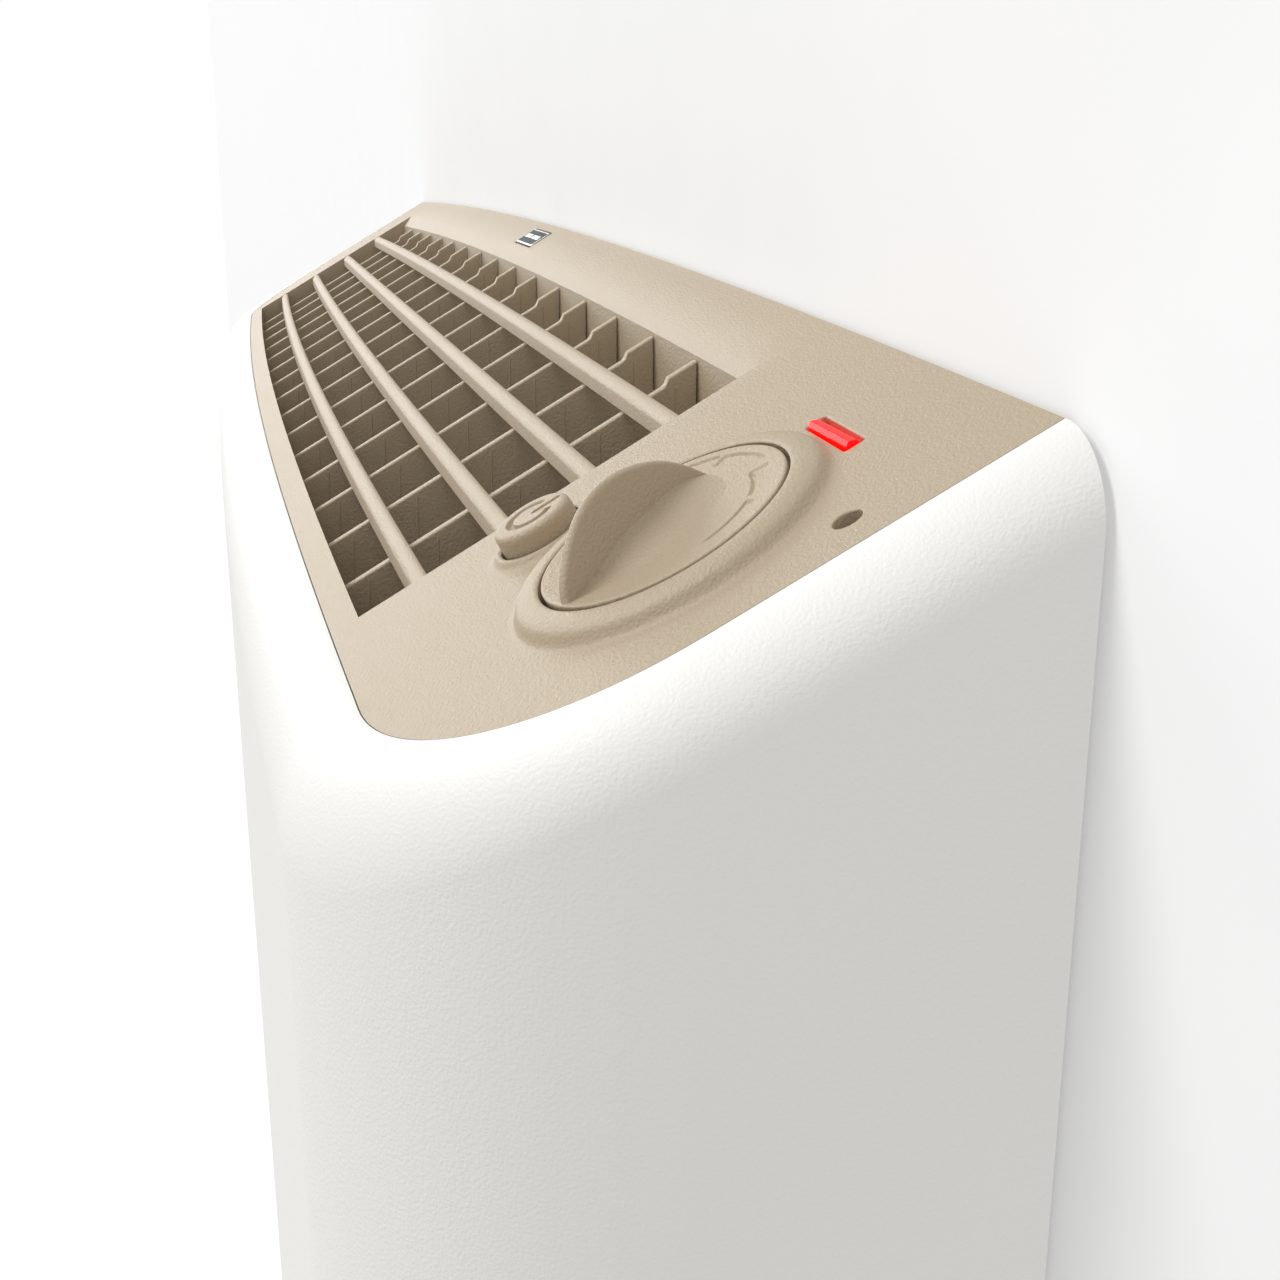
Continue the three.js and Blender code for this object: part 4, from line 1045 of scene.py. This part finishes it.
# Hot-dip galvanised sheet: grey zinc crystals a few millimetres across, each with its own gloss.
galvanised, tree, shader = new_material("galvanised sheet steel")
place = add_node(tree, "ShaderNodeTexCoord").outputs["Object"]
spangle = add_node(
    tree, "ShaderNodeTexVoronoi", inputs={"Scale": 1 / (6 * mm)}, links={"Vector": place},
)
shade = add_node(
    tree, "ShaderNodeSeparateColor", links={"Color": spangle.outputs["Color"]},
).outputs["Red"]
tone = add_node(
    tree, "ShaderNodeMix", settings={"data_type": "RGBA"},
    inputs={"A": linear("#B2B6B8"), "B": linear("#C6C9CA")},
    links={"Factor": shade},
)
gloss = add_node(
    tree, "ShaderNodeMapRange", inputs={"To Min": 0.36, "To Max": 0.5}, links={"Value": shade},
)
tree.links.new(tone.outputs["Result"], shader.inputs["Base Color"])
tree.links.new(gloss.outputs["Result"], shader.inputs["Roughness"])
shader.inputs["Metallic"].default_value = 1.0
dress(galvanised, (
    "back_cover", "wall_bracket", "scroll_rear", "duct_front", "end_plate", "outlet_duct",
    "control_plate",
))

# Zinc-plated screw steel: brighter and smoother than the sheet.
dress(mottled("zinc-plated steel", "#A6A8AA", "#B9BBBC", 3 * mm, 0.25, 0.35, 1.0, 0.01 * mm),
      ("cover_screw", "duct_screw", "control_screw", "thermostat_spindle", "fan_shaft"))
# Rolled aluminium: pale and even, with faint rolling marks.
dress(mottled("rolled aluminium", "#C4C6C8", "#D5D6D7", 2 * mm, 0.28, 0.4, 1.0, 0.01 * mm),
      ("fan_wheel", "heat_fins", "heat_shield"))
# Sintered ceramic: matt dark grey with a fine powdery tooth.
dress(mottled("sintered ceramic", "#454341", "#55524F", 0.8 * mm, 0.7, 0.85, 0.0, 0.05 * mm, 1.7),
      ("ceramic_bar",))
# Mica board: brown-gold flakes, slightly glossy.
dress(mottled("mica board", "#97886A", "#B5A785", 2.5 * mm, 0.35, 0.6, 0.0, 0.04 * mm, 1.58),
      ("element_frame",))
# Cream urea moulding of the switchgear: slightly glossy, evenly coloured.
dress(mottled("cream urea moulding", "#D2CBB9", "#DCD6C6", 4 * mm, 0.35, 0.45, 0.0, 0.01 * mm, 1.54),
      ("thermostat_body", "terminal_block", "switch_plunger"))
# Black nylon: soft gloss with a faint grain.
dress(mottled("black nylon", "#222225", "#2B2B2E", 0.8 * mm, 0.45, 0.6, 0.0, 0.02 * mm, 1.53),
      ("switch_body", "fan_motor", "thermal_cutout"))
# Black rubber: matt and dusty.
dress(mottled("black rubber", "#1C1C1C", "#282726", 1.5 * mm, 0.75, 0.9, 0.0, 0.03 * mm, 1.52),
      ("cord_gland", "bearing_housing"))
# Sintered bronze: warm, slightly porous metal.
dress(mottled("sintered bronze", "#8E6A3A", "#A27D49", 0.6 * mm, 0.4, 0.55, 1.0, 0.03 * mm),
      ("bearing_bush",))
# Drawn copper tube: bright reddish metal with a thin tarnish.
dress(mottled("drawn copper", "#A8643C", "#C07C50", 6 * mm, 0.25, 0.4, 1.0, 0.01 * mm),
      ("capillary_bulb",))
# Silicone-sleeved leads: matt, faintly woven.
dress(mottled("silicone lead sleeve", "#B8B2A6", "#C8C2B6", 1 * mm, 0.55, 0.7, 0.0, 0.03 * mm, 1.41),
      ("lead_",))
# Lamp glass behind the lens: orange-pink and shiny.
dress(mottled("neon lamp glass", "#D89A86", "#E8B4A2", 2 * mm, 0.08, 0.15, 0.0, 0.005 * mm, 1.5),
      ("indicator_lamp",))
# Brown polypropylene base plate: waxy, with a fine grain.
dress(mottled("brown polypropylene", "#544839", "#61533F", 0.8 * mm, 0.5, 0.62, 0.0, 0.03 * mm, 1.49),
      ("intake_grille",))


# ---------------------------------------------------------------- room and light
# A white wall behind the heater, a pale floor well below it, and an even white sky. A broad window
# light comes from the front, and two weaker ones from the far end and from the ceiling.

room_white, tree, shader = new_material("matt wall paint")
# Flat emulsion paint: almost pure white, with a barely uneven roller finish.
place = add_node(tree, "ShaderNodeTexCoord").outputs["Object"]
roller = add_node(
    tree, "ShaderNodeTexNoise", inputs={"Scale": 1 / (30 * mm), "Detail": 1.0}, links={"Vector": place},
)
tone = add_node(
    tree, "ShaderNodeMix", settings={"data_type": "RGBA"},
    inputs={"A": linear("#F4F4F4"), "B": linear("#F7F7F7")},
    links={"Factor": roller.outputs["Fac"]},
)
tree.links.new(tone.outputs["Result"], shader.inputs["Base Color"])
shader.inputs["Roughness"].default_value = 0.9
shader.inputs["Specular IOR Level"].default_value = 0.1
shader.inputs["Emission Color"].default_value = linear("#FFFFFF")
shader.inputs["Emission Strength"].default_value = 0.03


def sheet_piece(name, corners, material):
    mesh = bpy.data.meshes.new(name)
    mesh.from_pydata(corners, [], [(0, 1, 2, 3)])
    mesh.materials.append(material)
    piece = bpy.data.objects.new(name, mesh)
    bpy.context.scene.collection.objects.link(piece)
    return piece


# The floor is lit up to the same white as the sky, so that no horizon shows.
floor_white = room_white.copy()
floor_white.name = "white floor paint"
floor_white.node_tree.nodes["Principled BSDF"].inputs["Emission Strength"].default_value = 0.3
# The wall hides nothing from behind: its paint is on the side that faces the room.
room_wall = room_white.copy()
room_wall.name = "wall paint seen from the room"
tree = room_wall.node_tree
open_back = add_node(tree, "ShaderNodeMixShader", links={
    "Fac": add_node(tree, "ShaderNodeNewGeometry").outputs["Backfacing"],
    1: tree.nodes["Principled BSDF"].outputs["BSDF"],
    2: add_node(tree, "ShaderNodeBsdfTransparent").outputs["BSDF"],
})
tree.links.new(open_back.outputs["Shader"], tree.nodes["Material Output"].inputs["Surface"])

floor_height = casing_bottom - 0.9
reach = 12.0
wall_sheet = sheet_piece("room_wall", [
    (-reach, 0, floor_height), (reach, 0, floor_height), (reach, 0, reach), (-reach, 0, reach),
], room_wall)
wall_sheet.visible_shadow = False
wall_sheet.visible_diffuse = False
wall_sheet.visible_glossy = False
floor = sheet_piece("floor", [
    (-reach, -reach, floor_height), (reach, -reach, floor_height),
    (reach, reach, floor_height), (-reach, reach, floor_height),
], floor_white)
floor.visible_diffuse = False
floor.visible_glossy = False


def soft_sun(name, towards, strength):
    """A distant light 30 degrees wide, so that its shadows are soft, from this direction."""
    data = bpy.data.lights.new(name, "SUN")
    data.energy = strength
    data.angle = math.radians(30)
    light = bpy.data.objects.new(name, data)
    light.rotation_euler = Vector(towards).to_track_quat("Z", "Y").to_euler()
    bpy.context.scene.collection.objects.link(light)


soft_sun("window", (-0.42, -1.0, 1.0), 1.35)
soft_sun("low_far", (-1.0, -0.3, 0.25), 0.62)
soft_sun("ceiling", (0.6, -0.3, 1.0), 0.3)

world = bpy.data.worlds.new("white sky")
bpy.context.scene.world = world
world.use_nodes = True
sky = world.node_tree.nodes["Background"]
sky.inputs["Color"].default_value = linear("#FFFFFF")
# Seen directly, the sky is full white; as light on the heater it is about two thirds of that.
sky_strength = add_node(
    world.node_tree, "ShaderNodeMapRange", inputs={"To Min": 0.63, "To Max": 1.0},
    links={"Value": add_node(world.node_tree, "ShaderNodeLightPath").outputs["Is Camera Ray"]},
)
world.node_tree.links.new(sky_strength.outputs["Result"], sky.inputs["Strength"])
bpy.context.scene.view_settings.view_transform = "Standard"
